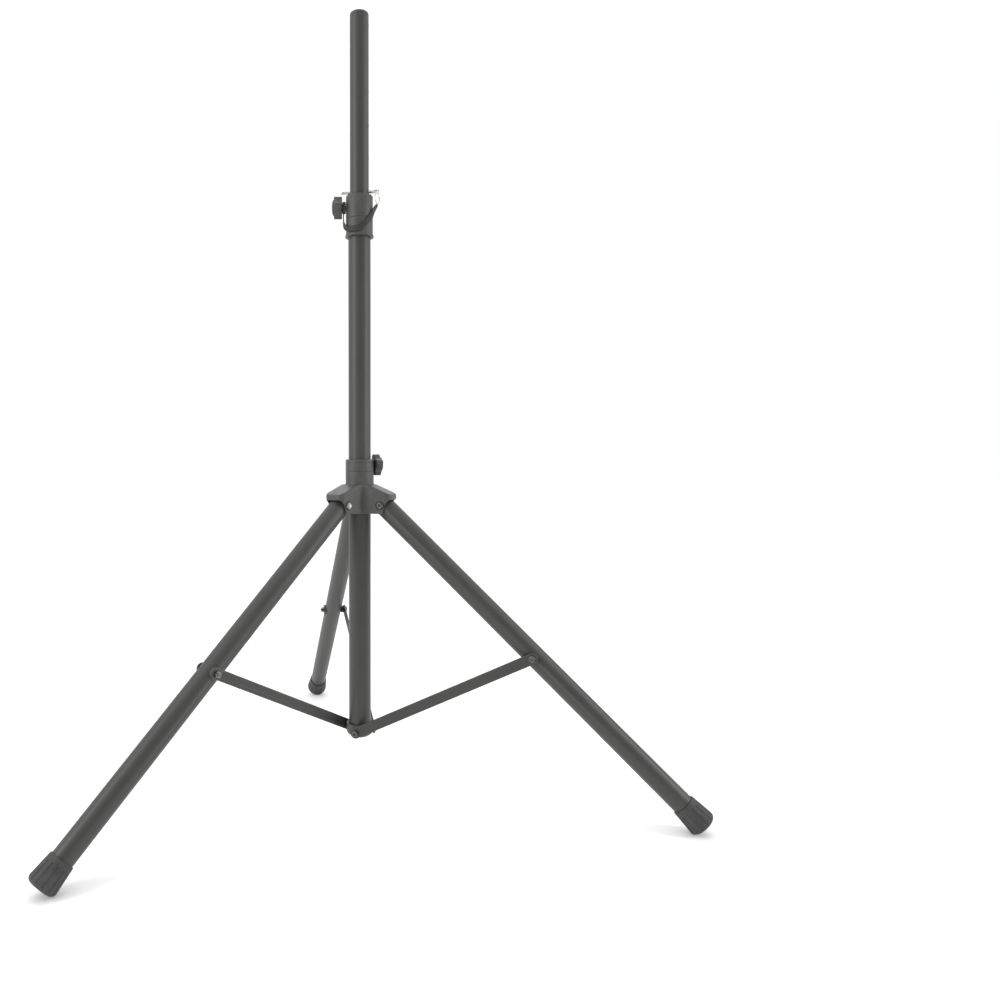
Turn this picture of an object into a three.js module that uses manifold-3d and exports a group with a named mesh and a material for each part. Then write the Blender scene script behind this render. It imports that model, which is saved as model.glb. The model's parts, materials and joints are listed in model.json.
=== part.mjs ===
// Folding tripod stand for a loudspeaker: a telescoping mast in a column, a collar that clamps
// and pins the mast, and three legs that spread as a hub slides down the column.
// Millimetres, +Z up, floor at z = 0, back leg towards +Y.
import * as THREE from 'three';
import { mergeVertices } from 'three/addons/utils/BufferGeometryUtils.js';
import Module from 'manifold-3d';

const wasm = await Module();
wasm.setup();

// ---------------------------------------------------------------- driving dimensions
const GAP = 0.3; // clearance between pieces that touch or slide

const STAND_HEIGHT = 1442; // top of the mast cap above the floor
const MAST_DIAMETER = 35;
const MAST_WALL = 2;
const MAST_LENGTH = 1000;
const MAST_CAP_HEIGHT = 6;
const MAST_CAP_ROUND = 4;
const MAST_GUIDE_HEIGHT = 12; // flange of the plug that guides the mast's lower end

const LINER_WALL = 1.15; // plastic liner between mast and column, and inside the hub
const COLUMN_WALL = 1.5;

const COLLAR_TOP = 1111;
const COLLAR_WALL = 3.95;
const COLLAR_HEAD_HEIGHT = 41.8;
const COLLAR_FERRULE_HEIGHT = 33;
const COLLAR_FLARE = 1.5;
const COLLAR_FLARE_HEIGHT = 7;
const COLUMN_SEAT = 8; // how far the column's end reaches into the collar head
const COLLAR_KNOB_BELOW_TOP = 20.5;
const COLLAR_TURN = -11; // degrees from the +X axis to the pin's side of the collar

const PIN_DIAMETER = 6;
const PIN_HOLE_DIAMETER = 6.8;
const PIN_ABOVE_COLLAR = 8;
const PIN_TIP = 35; // from the mast's axis to the pin's tip
const PIN_HEAD_DIAMETER = 9;
const PIN_HEAD_START = 29;
const PIN_HEAD_END = 38;
const PIN_HOLE_PITCH = 60;
const PIN_HOLES_BELOW = 7;
const PIN_HOLES_ABOVE = 5;
const PIN_TURN = -19; // degrees from the +X axis to the pin's head

const RING_DIAMETER = 22;
const RING_WIRE = 1.8;
const RING_TURN = -14; // degrees that the ring hangs turned from square to the pin

const KNOB_DIAMETER = 41;
const KNOB_LOBE = 3.2; // how deep the hollows between lobes are, to each side of the mean
const KNOB_LOBES = 4;
const KNOB_NECK_DIAMETER = 16;
const KNOB_COVER_DIAMETER = 28;
const KNOB_COVER_HEIGHT = 3.6;
const COLLAR_KNOB_NECK = 7;
const COLLAR_KNOB_THICKNESS = 15;
const HUB_KNOB_NECK = 0.6;
const HUB_KNOB_THICKNESS = 13;
const HUB_KNOB_TURN = 15; // degrees that the hub knob's lobes are turned at rest
const SCREW_DIAMETER = 8;
const INSERT_DIAMETER = 12;
const PAD_DIAMETER = 10;

const STRAP_WIDTH = 10; // the tether's flat strap
const STRAP_THICKNESS = 1.8;
const STRAP_LOOP_WALL = 2.6;

const LEG_DIAMETER = 37;
const LEG_WALL = 1.5;
const LEG_ANGLE = 46.8; // degrees from the vertical
const LEG_OVERHANG = 6; // how far the leg reaches past its pivot
const LEG_PLUG_DEPTH = 22;
const LEG_IN_FOOT = 38;
const PIVOT_HEIGHT = 539.5;
const PIVOT_GAP = 2; // between the folded leg and the hub's sleeve
const PIVOT_BOLT_DIAMETER = 8;
const PIVOT_HEAD_DIAMETER = 13;
const PIVOT_HEAD_HEIGHT = 4;

const FOOT_TOP_DIAMETER = 41.5;
const FOOT_BASE_DIAMETER = 48;
const FOOT_LENGTH = 46;
const FOOT_ROUND = 8;

const SLEEVE_WALL = 4;
const SLEEVE_ABOVE_PIVOT = 85;
const SLEEVE_GROOVE = 0.6;
const GROOVES_BELOW_TOP = [5.9, 22.2];
const HUB_KNOB_BELOW_TOP = 10.5;
const HUB_KNOB_AZIMUTH = 8;
const FORK_WALL = 4.7;
const FORK_SIDE_GAP = 0.8;
const FORK_PAST_LEG = 2.5; // how far the hood's tip reaches past the leg's radius
const FORK_TIP_ROUND = 12;
const HOOD_LIP_DROP = 8.5; // from the leg's radius over the pivot down to the hood's lip
const HOOD_RISE = 28; // from the lip up to where the hood meets the sleeve
const FORK_BELOW_PIVOT = 16;
const FORK_CORE = 2.5; // how far the web between forks stands out from the sleeve

const BRACKET_BOTTOM = 97.5;
const BRACKET_HEIGHT = 25;
const BRACKET_WALL = 3.75;
const BRACKET_ROUND = 0.8; // how far the round of the bracket stands out past its flats
const BRACKET_CHAMFER = 9;
const BRACKET_FLAT_WIDTH = 28;
const BRACKET_FLOOR = 4;
const BRACE_PIVOT_ABOVE_BRACKET = 11.3;

const BRACE_ALONG_LEG = 382; // from the leg's pivot to the strap's bolt
const BRACE_WIDTH = 19.5;
const BRACE_THICKNESS = 3;
const BRACE_BOLT_DIAMETER = 6;
const BRACE_HEAD_DIAMETER = 12;
const BRACE_HEAD_HEIGHT = 4;
const BRACE_SCREW_DEPTH = 8; // how far a bracket screw reaches past the bracket's flat
const SPACER_DIAMETER = 16;
const SADDLE_DIAMETER = 22;
const SADDLE_THICKNESS = 2;
const NUT_HEIGHT = 6;
const NUT_ACROSS_CORNERS = 11.5;
const PIVOT_NUT_ACROSS_CORNERS = 15;

const TUBE_SIDES = 32;
const SMALL_SIDES = 12;
const HOLE_SIDES = 8;
const KNOB_SIDES = 16;

// ---------------------------------------------------------------- sizes that follow
const MAST_R = MAST_DIAMETER / 2;
const COLUMN_BORE_R = MAST_R + GAP + LINER_WALL + GAP;
const COLUMN_R = COLUMN_BORE_R + COLUMN_WALL;
const COLLAR_R = COLUMN_R + GAP + COLLAR_WALL;
const COLLAR_SPLIT = COLLAR_TOP - COLLAR_HEAD_HEIGHT;
const COLLAR_BOTTOM = COLLAR_SPLIT - GAP - COLLAR_FERRULE_HEIGHT;
const COLUMN_TOP = COLLAR_SPLIT + COLUMN_SEAT;
const COLLAR_KNOB_HEIGHT = COLLAR_TOP - COLLAR_KNOB_BELOW_TOP;
const PIN_HEIGHT = COLLAR_TOP + PIN_ABOVE_COLLAR;
const MAST_TUBE_TOP = STAND_HEIGHT - MAST_CAP_HEIGHT;
const MAST_TUBE_BOTTOM = MAST_TUBE_TOP - MAST_LENGTH;

const HUB_BORE_R = COLUMN_R + GAP + LINER_WALL + GAP;
const SLEEVE_R = HUB_BORE_R + SLEEVE_WALL;
const HUB_TOP = PIVOT_HEIGHT + SLEEVE_ABOVE_PIVOT;
const HUB_BOTTOM = PIVOT_HEIGHT - FORK_BELOW_PIVOT;
const HUB_KNOB_HEIGHT = HUB_TOP - HUB_KNOB_BELOW_TOP;

const LEG_R = LEG_DIAMETER / 2;
const LEG_TILT = THREE.MathUtils.degToRad(LEG_ANGLE);
const PIVOT_RADIUS = SLEEVE_R + PIVOT_GAP + LEG_R;
const FORK_HALF = LEG_R + FORK_SIDE_GAP + FORK_WALL;
const FORK_TIP = PIVOT_RADIUS + LEG_R + FORK_PAST_LEG;
const HOOD_LIP = PIVOT_HEIGHT + LEG_R - HOOD_LIP_DROP;
const FOOT_BASE_R = FOOT_BASE_DIAMETER / 2;
const FOOT_FLAT_R = FOOT_BASE_R - FOOT_ROUND;
// The foot's rounded rim touches the floor, which sets how long the leg is.
const LEG_LENGTH = FOOT_ROUND
  + (PIVOT_HEIGHT - FOOT_ROUND - FOOT_FLAT_R * Math.sin(LEG_TILT)) / Math.cos(LEG_TILT);

const BRACKET_BORE_R = COLUMN_R + GAP;
const BRACKET_FLAT = BRACKET_BORE_R + BRACKET_WALL;
const BRACKET_R = BRACKET_FLAT + BRACKET_ROUND;
const BRACE_PIVOT_HEIGHT = BRACKET_BOTTOM + BRACE_PIVOT_ABOVE_BRACKET;
const BRACE_INNER = BRACKET_FLAT + GAP; // the strap's inner face, from the leg's middle plane
const BRACE_OUTER = BRACE_INNER + BRACE_THICKNESS;
const BRACE_END = new THREE.Vector2(
  PIVOT_RADIUS + BRACE_ALONG_LEG * Math.sin(LEG_TILT),
  PIVOT_HEIGHT - BRACE_ALONG_LEG * Math.cos(LEG_TILT) - BRACE_PIVOT_HEIGHT,
);
const BRACE_LENGTH = BRACE_END.length();
const BRACE_RISE = BRACE_END.angle();
const BRACE_HOLE_R = BRACE_BOLT_DIAMETER / 2 + GAP;

const LEGS = { left: 210, right: 330, back: 90 };

// ---------------------------------------------------------------- materials
function paint(color, roughness, metalness) {
  return new THREE.MeshStandardMaterial({ color, roughness, metalness });
}
const POWDER_COAT = paint(0x4a4c49, 0.55, 0.4);
const MOULDING = paint(0x464846, 0.6, 0);
const RUBBER = paint(0x2e2f2e, 0.85, 0);
const LEATHER = paint(0x2b2c2a, 0.8, 0);
const NYLON = paint(0x1d1d1d, 0.6, 0);
const BLACK_STEEL = paint(0x1f1f20, 0.4, 0.9);
const CHROME = paint(0xc9c9c6, 0.15, 1);
const BRASS = paint(0xb08d4a, 0.35, 1);

// ---------------------------------------------------------------- solids
// A closed geometry as a solid, with its shared corners merged.
function solid(geometry) {
  const bare = new THREE.BufferGeometry();
  bare.setAttribute('position', geometry.getAttribute('position').clone());
  if (geometry.index) bare.setIndex(geometry.index.clone());
  const merged = mergeVertices(bare, 1e-4);
  return new wasm.Manifold(new wasm.Mesh({
    numProp: 3,
    vertProperties: new Float32Array(merged.getAttribute('position').array),
    triVerts: new Uint32Array(merged.index.array),
  }));
}

function geometryOf(manifold) {
  const mesh = manifold.getMesh();
  const geometry = new THREE.BufferGeometry();
  geometry.setAttribute('position', new THREE.BufferAttribute(mesh.vertProperties, 3));
  geometry.setIndex(new THREE.BufferAttribute(mesh.triVerts, 1));
  const flat = geometry.toNonIndexed();
  flat.computeVertexNormals();
  return flat;
}

// One body with others cut away.
function cut(geometry, ...tools) {
  let body = solid(geometry);
  for (const tool of tools) body = body.subtract(solid(tool));
  return geometryOf(body);
}

// A profile of [radius, z] corners turned about Z. A loop that is off the axis is closed.
function turned(profile, sides = TUBE_SIDES) {
  const points = profile.map(([r, z]) => new THREE.Vector2(r, z));
  if (THREE.ShapeUtils.area(points) < 0) points.reverse();
  if (points[0].x > 0 || points[points.length - 1].x > 0) points.push(points[0].clone());
  return new THREE.LatheGeometry(points, sides).rotateX(Math.PI / 2);
}

function pipe(innerR, outerR, z0, z1, sides = TUBE_SIDES) {
  return turned([[innerR, z0], [outerR, z0], [outerR, z1], [innerR, z1]], sides);
}

function rod(r, z0, z1, sides = SMALL_SIDES) {
  return turned([[0, z0], [r, z0], [r, z1], [0, z1]], sides);
}

// Turns a solid that was made along Z so that it lies along +X or +Y.
function alongX(geometry) {
  return geometry.rotateY(Math.PI / 2);
}
function alongY(geometry) {
  return geometry.rotateX(-Math.PI / 2);
}

function plate(outline, depth) {
  const shape = outline instanceof THREE.Shape ? outline : new THREE.Shape(outline);
  return new THREE.ExtrudeGeometry(shape, { depth, bevelEnabled: false, curveSegments: 5 });
}

// A flat outline of [x, z] in the plane y = 0, thickened from y = from to y = to.
function upright(outline, from, to) {
  const points = outline instanceof THREE.Shape
    ? outline
    : outline.map(([x, z]) => new THREE.Vector2(x, z));
  return plate(points, to - from).rotateX(Math.PI / 2).translate(0, to, 0);
}

function hexagon(acrossCorners, z0, z1) {
  return rod(acrossCorners / 2, z0, z1, 6);
}

function arc(centreX, centreZ, r, fromDegrees, toDegrees, steps) {
  return Array.from({ length: steps + 1 }, (_, i) => {
    const a = THREE.MathUtils.degToRad(fromDegrees + (toDegrees - fromDegrees) * i / steps);
    return [centreX + r * Math.cos(a), centreZ + r * Math.sin(a)];
  });
}

function mesh(name, geometry, material) {
  const made = new THREE.Mesh(geometry, material);
  made.name = name;
  return made;
}

function turnedGroup(azimuth, ...children) {
  const group = new THREE.Group();
  group.rotation.z = THREE.MathUtils.degToRad(azimuth);
  group.add(...children);
  return group;
}

// ---------------------------------------------------------------- mast
function pinHoles(r) {
  const holes = [];
  for (let i = -PIN_HOLES_BELOW; i <= PIN_HOLES_ABOVE; i += 1) {
    const hole = alongX(rod(r, -MAST_R - 2, MAST_R + 2, HOLE_SIDES));
    hole.rotateZ(THREE.MathUtils.degToRad(PIN_TURN));
    holes.push(hole.translate(0, 0, PIN_HEIGHT + i * PIN_HOLE_PITCH));
  }
  return holes;
}

function mast() {
  const inner = MAST_R - MAST_WALL;
  const tube = pipe(inner, MAST_R, MAST_TUBE_BOTTOM, MAST_TUBE_TOP);
  const spigot = inner - GAP;
  const capTop = turned([
    [0, MAST_TUBE_TOP - 10],
    [spigot, MAST_TUBE_TOP - 10],
    [spigot, MAST_TUBE_TOP + GAP],
    [MAST_R, MAST_TUBE_TOP + GAP],
    ...arc(MAST_R - MAST_CAP_ROUND, STAND_HEIGHT - MAST_CAP_ROUND, MAST_CAP_ROUND, 0, 90, 4),
    [0, STAND_HEIGHT],
  ]);
  const guideR = COLUMN_BORE_R - GAP;
  const guide = turned([
    [0, MAST_TUBE_BOTTOM - MAST_GUIDE_HEIGHT],
    [guideR, MAST_TUBE_BOTTOM - MAST_GUIDE_HEIGHT],
    [guideR, MAST_TUBE_BOTTOM - GAP],
    [spigot, MAST_TUBE_BOTTOM - GAP],
    [spigot, MAST_TUBE_BOTTOM + 18],
    [0, MAST_TUBE_BOTTOM + 18],
  ]);
  return [
    mesh('mast_tube', cut(tube, ...pinHoles(PIN_HOLE_DIAMETER / 2)), POWDER_COAT),
    mesh('mast_cap', capTop, MOULDING),
    mesh('mast_guide_plug', guide, NYLON),
  ];
}

// ---------------------------------------------------------------- column and collar
function bracketScrewHole(r, azimuth, reach) {
  const hole = alongY(rod(r, -reach, 0)).rotateZ(THREE.MathUtils.degToRad(azimuth));
  return hole.translate(0, 0, BRACE_PIVOT_HEIGHT);
}

function column() {
  const tube = pipe(COLUMN_BORE_R, COLUMN_R, BRACKET_BOTTOM + BRACKET_FLOOR + GAP, COLUMN_TOP);
  const holes = Object.values(LEGS).map(
    (azimuth) => bracketScrewHole(BRACE_HOLE_R, azimuth, COLUMN_R + 5),
  );
  return mesh('column_tube', cut(tube, ...holes), POWDER_COAT);
}

function bracket() {
  const top = BRACKET_BOTTOM + BRACKET_HEIGHT;
  const floor = BRACKET_BOTTOM + BRACKET_FLOOR;
  const cup = turned([
    [0, BRACKET_BOTTOM],
    [BRACKET_R - BRACKET_CHAMFER, BRACKET_BOTTOM],
    [BRACKET_R - BRACKET_CHAMFER * 0.3, BRACKET_BOTTOM + BRACKET_CHAMFER * 0.5],
    [BRACKET_R, BRACKET_BOTTOM + BRACKET_CHAMFER],
    [BRACKET_R, top - 1],
    [BRACKET_R - 1, top],
    [BRACKET_BORE_R, top],
    [BRACKET_BORE_R, floor],
    [0, floor],
  ]);
  const cuts = Object.values(LEGS).flatMap((azimuth) => {
    const beyond = new THREE.BoxGeometry(BRACKET_FLAT_WIDTH, 20, BRACKET_HEIGHT * 3);
    beyond.translate(0, -BRACKET_FLAT - 10, top).rotateZ(THREE.MathUtils.degToRad(azimuth));
    return [beyond, bracketScrewHole(BRACE_HOLE_R, azimuth, BRACKET_R + 5)];
  });
  return mesh('bottom_bracket', cut(cup, ...cuts), MOULDING);
}

// Passes through the strap into the bracket and the column. Local +Y is into the column.
function bracketScrew(name) {
  const face = -BRACE_OUTER - GAP;
  const head = BRACE_HEAD_DIAMETER / 2;
  const geometry = alongY(turned([
    [0, face - BRACE_HEAD_HEIGHT],
    [head - 1, face - BRACE_HEAD_HEIGHT],
    [head, face - BRACE_HEAD_HEIGHT + 1.2],
    [head, face],
    [BRACE_BOLT_DIAMETER / 2, face],
    [BRACE_BOLT_DIAMETER / 2, -BRACKET_FLAT + BRACE_SCREW_DEPTH],
    [0, -BRACKET_FLAT + BRACE_SCREW_DEPTH],
  ], SMALL_SIDES));
  return mesh(name, geometry.translate(0, 0, BRACE_PIVOT_HEIGHT), BLACK_STEEL);
}

function collar() {
  const bore = COLUMN_BORE_R;
  const seat = COLUMN_R + GAP;
  const head = turned([
    [seat, COLLAR_SPLIT],
    [COLLAR_R, COLLAR_SPLIT],
    [COLLAR_R, COLLAR_TOP - 1.2],
    [COLLAR_R - 1.2, COLLAR_TOP],
    [bore, COLLAR_TOP],
    [bore, COLUMN_TOP + GAP],
    [seat, COLUMN_TOP + GAP],
  ]);
  const socket = alongX(rod(INSERT_DIAMETER / 2 + GAP, -COLLAR_R - 5, -bore + 3, KNOB_SIDES));
  const ferruleTop = COLLAR_SPLIT - GAP;
  const flareR = COLLAR_R + COLLAR_FLARE;
  const ferrule = turned([
    [seat, COLLAR_BOTTOM],
    [flareR - 0.8, COLLAR_BOTTOM],
    [flareR, COLLAR_BOTTOM + 0.8],
    [flareR, COLLAR_BOTTOM + 2.6],
    [COLLAR_R, COLLAR_BOTTOM + COLLAR_FLARE_HEIGHT],
    [COLLAR_R, ferruleTop],
    [seat, ferruleTop],
  ]);
  const liner = pipe(MAST_R + GAP, bore - GAP, COLLAR_BOTTOM, COLLAR_TOP - 2);
  const window = alongX(rod(PAD_DIAMETER / 2 + GAP, -bore - 2, -MAST_R + 3, KNOB_SIDES));
  const atKnob = (geometry) => geometry.translate(0, 0, COLLAR_KNOB_HEIGHT);
  return turnedGroup(
    COLLAR_TURN,
    mesh('collar_head', cut(head, atKnob(socket)), MOULDING),
    mesh('collar_ferrule', ferrule, MOULDING),
    mesh('collar_liner', cut(liner, atKnob(window)), NYLON),
    mesh('collar_insert', atKnob(insert(COLLAR_R, bore)), BRASS),
    mesh('collar_pad', atKnob(pad(MAST_R, bore)), NYLON),
  );
}

// A threaded insert in the wall between two radii, on the -X side.
function insert(outerR, innerR) {
  const r = INSERT_DIAMETER / 2;
  const outer = Math.sqrt(outerR ** 2 - r ** 2) - GAP;
  return alongX(pipe(SCREW_DIAMETER / 2 + GAP, r, -outer, -innerR - GAP, KNOB_SIDES));
}

// The pad between the screw's tip and the tube that it clamps, on the -X side.
function pad(tubeR, outerR) {
  return alongX(rod(PAD_DIAMETER / 2, -outerR, -tubeR - GAP, KNOB_SIDES));
}

// ---------------------------------------------------------------- knobs
// A lobed knob on the -X side of a wall, with its screw and its domed cover.
function knob(prefix, wallR, tipR, { neck, thickness, turn }) {
  const bore = SCREW_DIAMETER / 2 + GAP;
  const start = wallR + GAP;
  const body = start + neck;
  const face = body + thickness;
  const phase = THREE.MathUtils.degToRad(turn);
  const mean = KNOB_DIAMETER / 2 - KNOB_LOBE;
  const outline = Array.from({ length: 32 }, (_, i) => {
    const a = i * Math.PI / 16;
    const r = mean + KNOB_LOBE * Math.cos(KNOB_LOBES * (a + phase));
    return new THREE.Vector2(r * Math.cos(a), r * Math.sin(a));
  });
  const bevel = 1.5;
  const lobes = new THREE.ExtrudeGeometry(new THREE.Shape(outline), {
    depth: thickness - 2 * bevel,
    bevelThickness: bevel,
    bevelSize: bevel,
    bevelOffset: -bevel,
    bevelSegments: 1,
  }).translate(0, 0, body + bevel);
  const neckRod = rod(KNOB_NECK_DIAMETER / 2, start, body + 3, KNOB_SIDES);
  const hole = rod(bore, start - 1, face - 3, KNOB_SIDES);
  const grip = geometryOf(solid(lobes).add(solid(neckRod)).subtract(solid(hole)));
  const coverR = KNOB_COVER_DIAMETER / 2;
  const cover = turned([
    [0, face + GAP],
    [coverR, face + GAP],
    [coverR * 0.93, face + GAP + KNOB_COVER_HEIGHT * 0.45],
    [coverR * 0.7, face + GAP + KNOB_COVER_HEIGHT * 0.8],
    [coverR * 0.36, face + GAP + KNOB_COVER_HEIGHT * 0.97],
    [0, face + GAP + KNOB_COVER_HEIGHT],
  ], KNOB_SIDES);
  const screw = rod(SCREW_DIAMETER / 2, tipR, face - 3 - GAP, KNOB_SIDES);
  const outward = (geometry) => geometry.rotateY(-Math.PI / 2);
  return [
    mesh(`${prefix}_knob`, outward(grip), MOULDING),
    mesh(`${prefix}_knob_cover`, outward(cover), MOULDING),
    mesh(`${prefix}_screw`, outward(screw), BLACK_STEEL),
  ];
}

function knobAt(azimuthOfMinusX, height, pieces) {
  const group = turnedGroup(azimuthOfMinusX, ...pieces);
  group.position.z = height;
  return group;
}

// ---------------------------------------------------------------- locking pin and tether
function pinSection() {
  const r = PIN_DIAMETER / 2;
  const headR = PIN_HEAD_DIAMETER / 2;
  const shaft = alongX(turned([
    [0, -PIN_TIP],
    [r * 0.5, -PIN_TIP],
    [r, -PIN_TIP + 1.5],
    [r, PIN_HEAD_START],
    [headR, PIN_HEAD_START],
    [headR, PIN_HEAD_END - 1],
    [headR - 1, PIN_HEAD_END],
    [0, PIN_HEAD_END],
  ]));
  const ringX = (PIN_HEAD_START + PIN_HEAD_END) / 2;
  const turn = THREE.MathUtils.degToRad(RING_TURN);
  const eye = alongY(rod(2.2, -10, 10)).rotateZ(turn).translate(ringX, 0, 0);
  const ring = new THREE.TorusGeometry(RING_DIAMETER / 2, RING_WIRE / 2, 6, 24);
  ring.rotateY(Math.PI / 2).rotateZ(turn).translate(ringX, 0, 0.5 - RING_DIAMETER / 2);
  const group = turnedGroup(
    PIN_TURN,
    mesh('lock_pin', cut(shaft, eye), CHROME),
    mesh('pin_ring', ring, CHROME),
  );
  group.position.z = PIN_HEIGHT;
  return group;
}

// The tether's route as [azimuth in degrees, distance from the axis, height above the collar's
// bottom], from under the knob's neck round the front of the collar up to the pin's ring.
const TETHER_ROUTE = [
  [169, 29.5, 43.2],
  [170, 29.6, 34],
  [177, 29.4, 24],
  [192, 28.2, 16],
  [213, 27.1, 11.5],
  [240, 26.9, 10.8],
  [265, 26.9, 14],
  [290, 26.9, 24],
  [312, 27, 35],
  [326, 28, 45.5],
  [336, 31, 54],
  [341, 33.5, 58.6],
];

// A flat strap swept along a curve with its face turned to the column's axis.
function tether() {
  const points = TETHER_ROUTE.map(([azimuth, r, height]) => {
    const a = THREE.MathUtils.degToRad(azimuth);
    return new THREE.Vector3(r * Math.cos(a), r * Math.sin(a), COLLAR_BOTTOM + height);
  });
  const curve = new THREE.CatmullRomCurve3(points);
  const steps = 30;
  const corner = STRAP_THICKNESS / 2;
  const side = STRAP_WIDTH / 2;
  // eight corners of the section, as [across the strap, through its thickness]
  const section = [
    [side, corner * 0.4], [side - 0.6, corner], [-side + 0.6, corner], [-side, corner * 0.4],
    [-side, -corner * 0.4], [-side + 0.6, -corner], [side - 0.6, -corner], [side, -corner * 0.4],
  ];
  const positions = [];
  for (let i = 0; i <= steps; i += 1) {
    const centre = curve.getPointAt(i / steps);
    const along = curve.getTangentAt(i / steps);
    const outward = new THREE.Vector3(centre.x, centre.y, 0);
    outward.addScaledVector(along, -outward.dot(along)).normalize();
    const across = new THREE.Vector3().crossVectors(outward, along);
    for (const [u, v] of section) {
      const at = centre.clone().addScaledVector(across, u).addScaledVector(outward, v);
      positions.push(at.x, at.y, at.z);
    }
  }
  const faces = [];
  const n = section.length;
  for (let i = 0; i < steps; i += 1) {
    for (let j = 0; j < n; j += 1) {
      const a = i * n + j;
      const b = i * n + (j + 1) % n;
      faces.push(a, b, a + n, b, b + n, a + n);
    }
  }
  for (let j = 1; j < n - 1; j += 1) {
    faces.push(0, j + 1, j);
    faces.push(steps * n, steps * n + j, steps * n + j + 1);
  }
  const strap = new THREE.BufferGeometry();
  strap.setAttribute('position', new THREE.Float32BufferAttribute(positions, 3));
  strap.setIndex(faces);
  return mesh('tether_strap', strap.toNonIndexed(), LEATHER);
}

// The strap's end, closed round the knob's neck.
function tetherLoop() {
  const inner = KNOB_NECK_DIAMETER / 2 + GAP;
  const from = COLLAR_R + 2 * GAP;
  const outer = inner + STRAP_LOOP_WALL;
  const loop = alongX(pipe(inner, outer, -from - COLLAR_KNOB_NECK + 1, -from, KNOB_SIDES));
  loop.translate(0, 0, COLLAR_KNOB_HEIGHT);
  return turnedGroup(COLLAR_TURN, mesh('tether_loop', loop, LEATHER));
}

// ---------------------------------------------------------------- hub
// The hood and forks over one leg, before the leg's slot is cut. Local X is outward.
function forkBlank() {
  const tip = FORK_TIP;
  const lip = HOOD_LIP;
  const side = new THREE.Shape();
  side.moveTo(HUB_BORE_R + 1, HUB_BOTTOM);
  side.lineTo(PIVOT_RADIUS + 5.5, HUB_BOTTOM);
  side.quadraticCurveTo(PIVOT_RADIUS + 7, lip - 3, tip - 1, lip);
  side.lineTo(tip, lip + 1);
  side.lineTo(tip, lip + 5);
  side.quadraticCurveTo(tip, lip + 9.5, tip - 5, lip + 11.5);
  side.lineTo(SLEEVE_R - 2, lip + HOOD_RISE);
  side.lineTo(HUB_BORE_R + 1, lip + HOOD_RISE);
  const slab = upright(side, -FORK_HALF, FORK_HALF);
  const plan = new THREE.Shape();
  plan.moveTo(0, -FORK_HALF);
  plan.lineTo(tip - FORK_TIP_ROUND, -FORK_HALF);
  plan.absarc(tip - FORK_TIP_ROUND, -FORK_HALF + FORK_TIP_ROUND, FORK_TIP_ROUND, -Math.PI / 2, 0);
  plan.absarc(tip - FORK_TIP_ROUND, FORK_HALF - FORK_TIP_ROUND, FORK_TIP_ROUND, 0, Math.PI / 2);
  plan.lineTo(0, FORK_HALF);
  const tower = plate(plan, 100).translate(0, 0, HUB_BOTTOM - 20);
  return solid(slab).intersect(solid(tower));
}

// The room that one leg sweeps between rest and folded, with its bolt's holes.
function forkSlot() {
  const x = PIVOT_RADIUS;
  const z = PIVOT_HEIGHT;
  const half = LEG_R + FORK_SIDE_GAP;
  const reach = Math.hypot(LEG_R, LEG_OVERHANG) + 2 * GAP;
  const tip = FORK_TIP;
  const lip = HOOD_LIP;
  const below = HUB_BOTTOM - 25;
  const roof = z + reach + 1;
  const slot = upright([
    [x - reach, below], [tip + 30, below], [tip + 30, lip - 2], [tip - 3, lip - 2],
    [tip - 3, lip + 2], [tip - 8, lip + 6], [x + 7, roof], [x - 9, roof], [x - reach, lip],
  ], -half, half);
  const shank = alongY(rod(PIVOT_BOLT_DIAMETER / 2 + GAP, -FORK_HALF - 5, FORK_HALF + 5));
  const seats = [-1, 1].map((side) => alongY(rod(
    PIVOT_HEAD_DIAMETER / 2 + 1.5,
    Math.min(side * (FORK_HALF - 2), side * (FORK_HALF + 5)),
    Math.max(side * (FORK_HALF - 2), side * (FORK_HALF + 5)),
    SMALL_SIDES,
  )));
  let cutter = solid(slot);
  for (const hole of [shank, ...seats]) cutter = cutter.add(solid(hole.translate(x, 0, z)));
  return cutter;
}

function hub() {
  const grooves = GROOVES_BELOW_TOP.flatMap((depth) => {
    const at = HUB_TOP - depth;
    const floor = SLEEVE_R - SLEEVE_GROOVE;
    return [[SLEEVE_R, at - 0.6], [floor, at - 0.4], [floor, at + 0.4], [SLEEVE_R, at + 0.6]].reverse();
  });
  const sleeve = turned([
    [HUB_BORE_R, HUB_TOP],
    [SLEEVE_R - 0.8, HUB_TOP],
    [SLEEVE_R, HUB_TOP - 0.8],
    ...grooves,
    [SLEEVE_R, HUB_BOTTOM],
    [HUB_BORE_R, HUB_BOTTOM],
  ]);
  const core = turned([
    [HUB_BORE_R + 1, HOOD_LIP + HOOD_RISE + 6],
    [SLEEVE_R - 0.5, HOOD_LIP + HOOD_RISE + 6],
    [SLEEVE_R + FORK_CORE, HOOD_LIP + 12],
    [SLEEVE_R + FORK_CORE, HUB_BOTTOM + 2],
    [SLEEVE_R + FORK_CORE - 2, HUB_BOTTOM],
    [HUB_BORE_R + 1, HUB_BOTTOM],
  ]);
  const azimuths = Object.values(LEGS);
  let body = solid(sleeve).add(solid(core));
  for (const azimuth of azimuths) body = body.add(forkBlank().rotate([0, 0, azimuth]));
  for (const azimuth of azimuths) body = body.subtract(forkSlot().rotate([0, 0, azimuth]));
  body = body.subtract(solid(rod(HUB_BORE_R, HUB_BOTTOM - 5, HUB_TOP + 5, TUBE_SIDES)));
  const socket = alongX(rod(INSERT_DIAMETER / 2 + GAP, -SLEEVE_R - 5, -HUB_BORE_R + 3, KNOB_SIDES));
  socket.translate(0, 0, HUB_KNOB_HEIGHT);
  socket.rotateZ(THREE.MathUtils.degToRad(HUB_KNOB_AZIMUTH + 180));
  return mesh('hub', geometryOf(body.subtract(solid(socket))), MOULDING);
}

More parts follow.
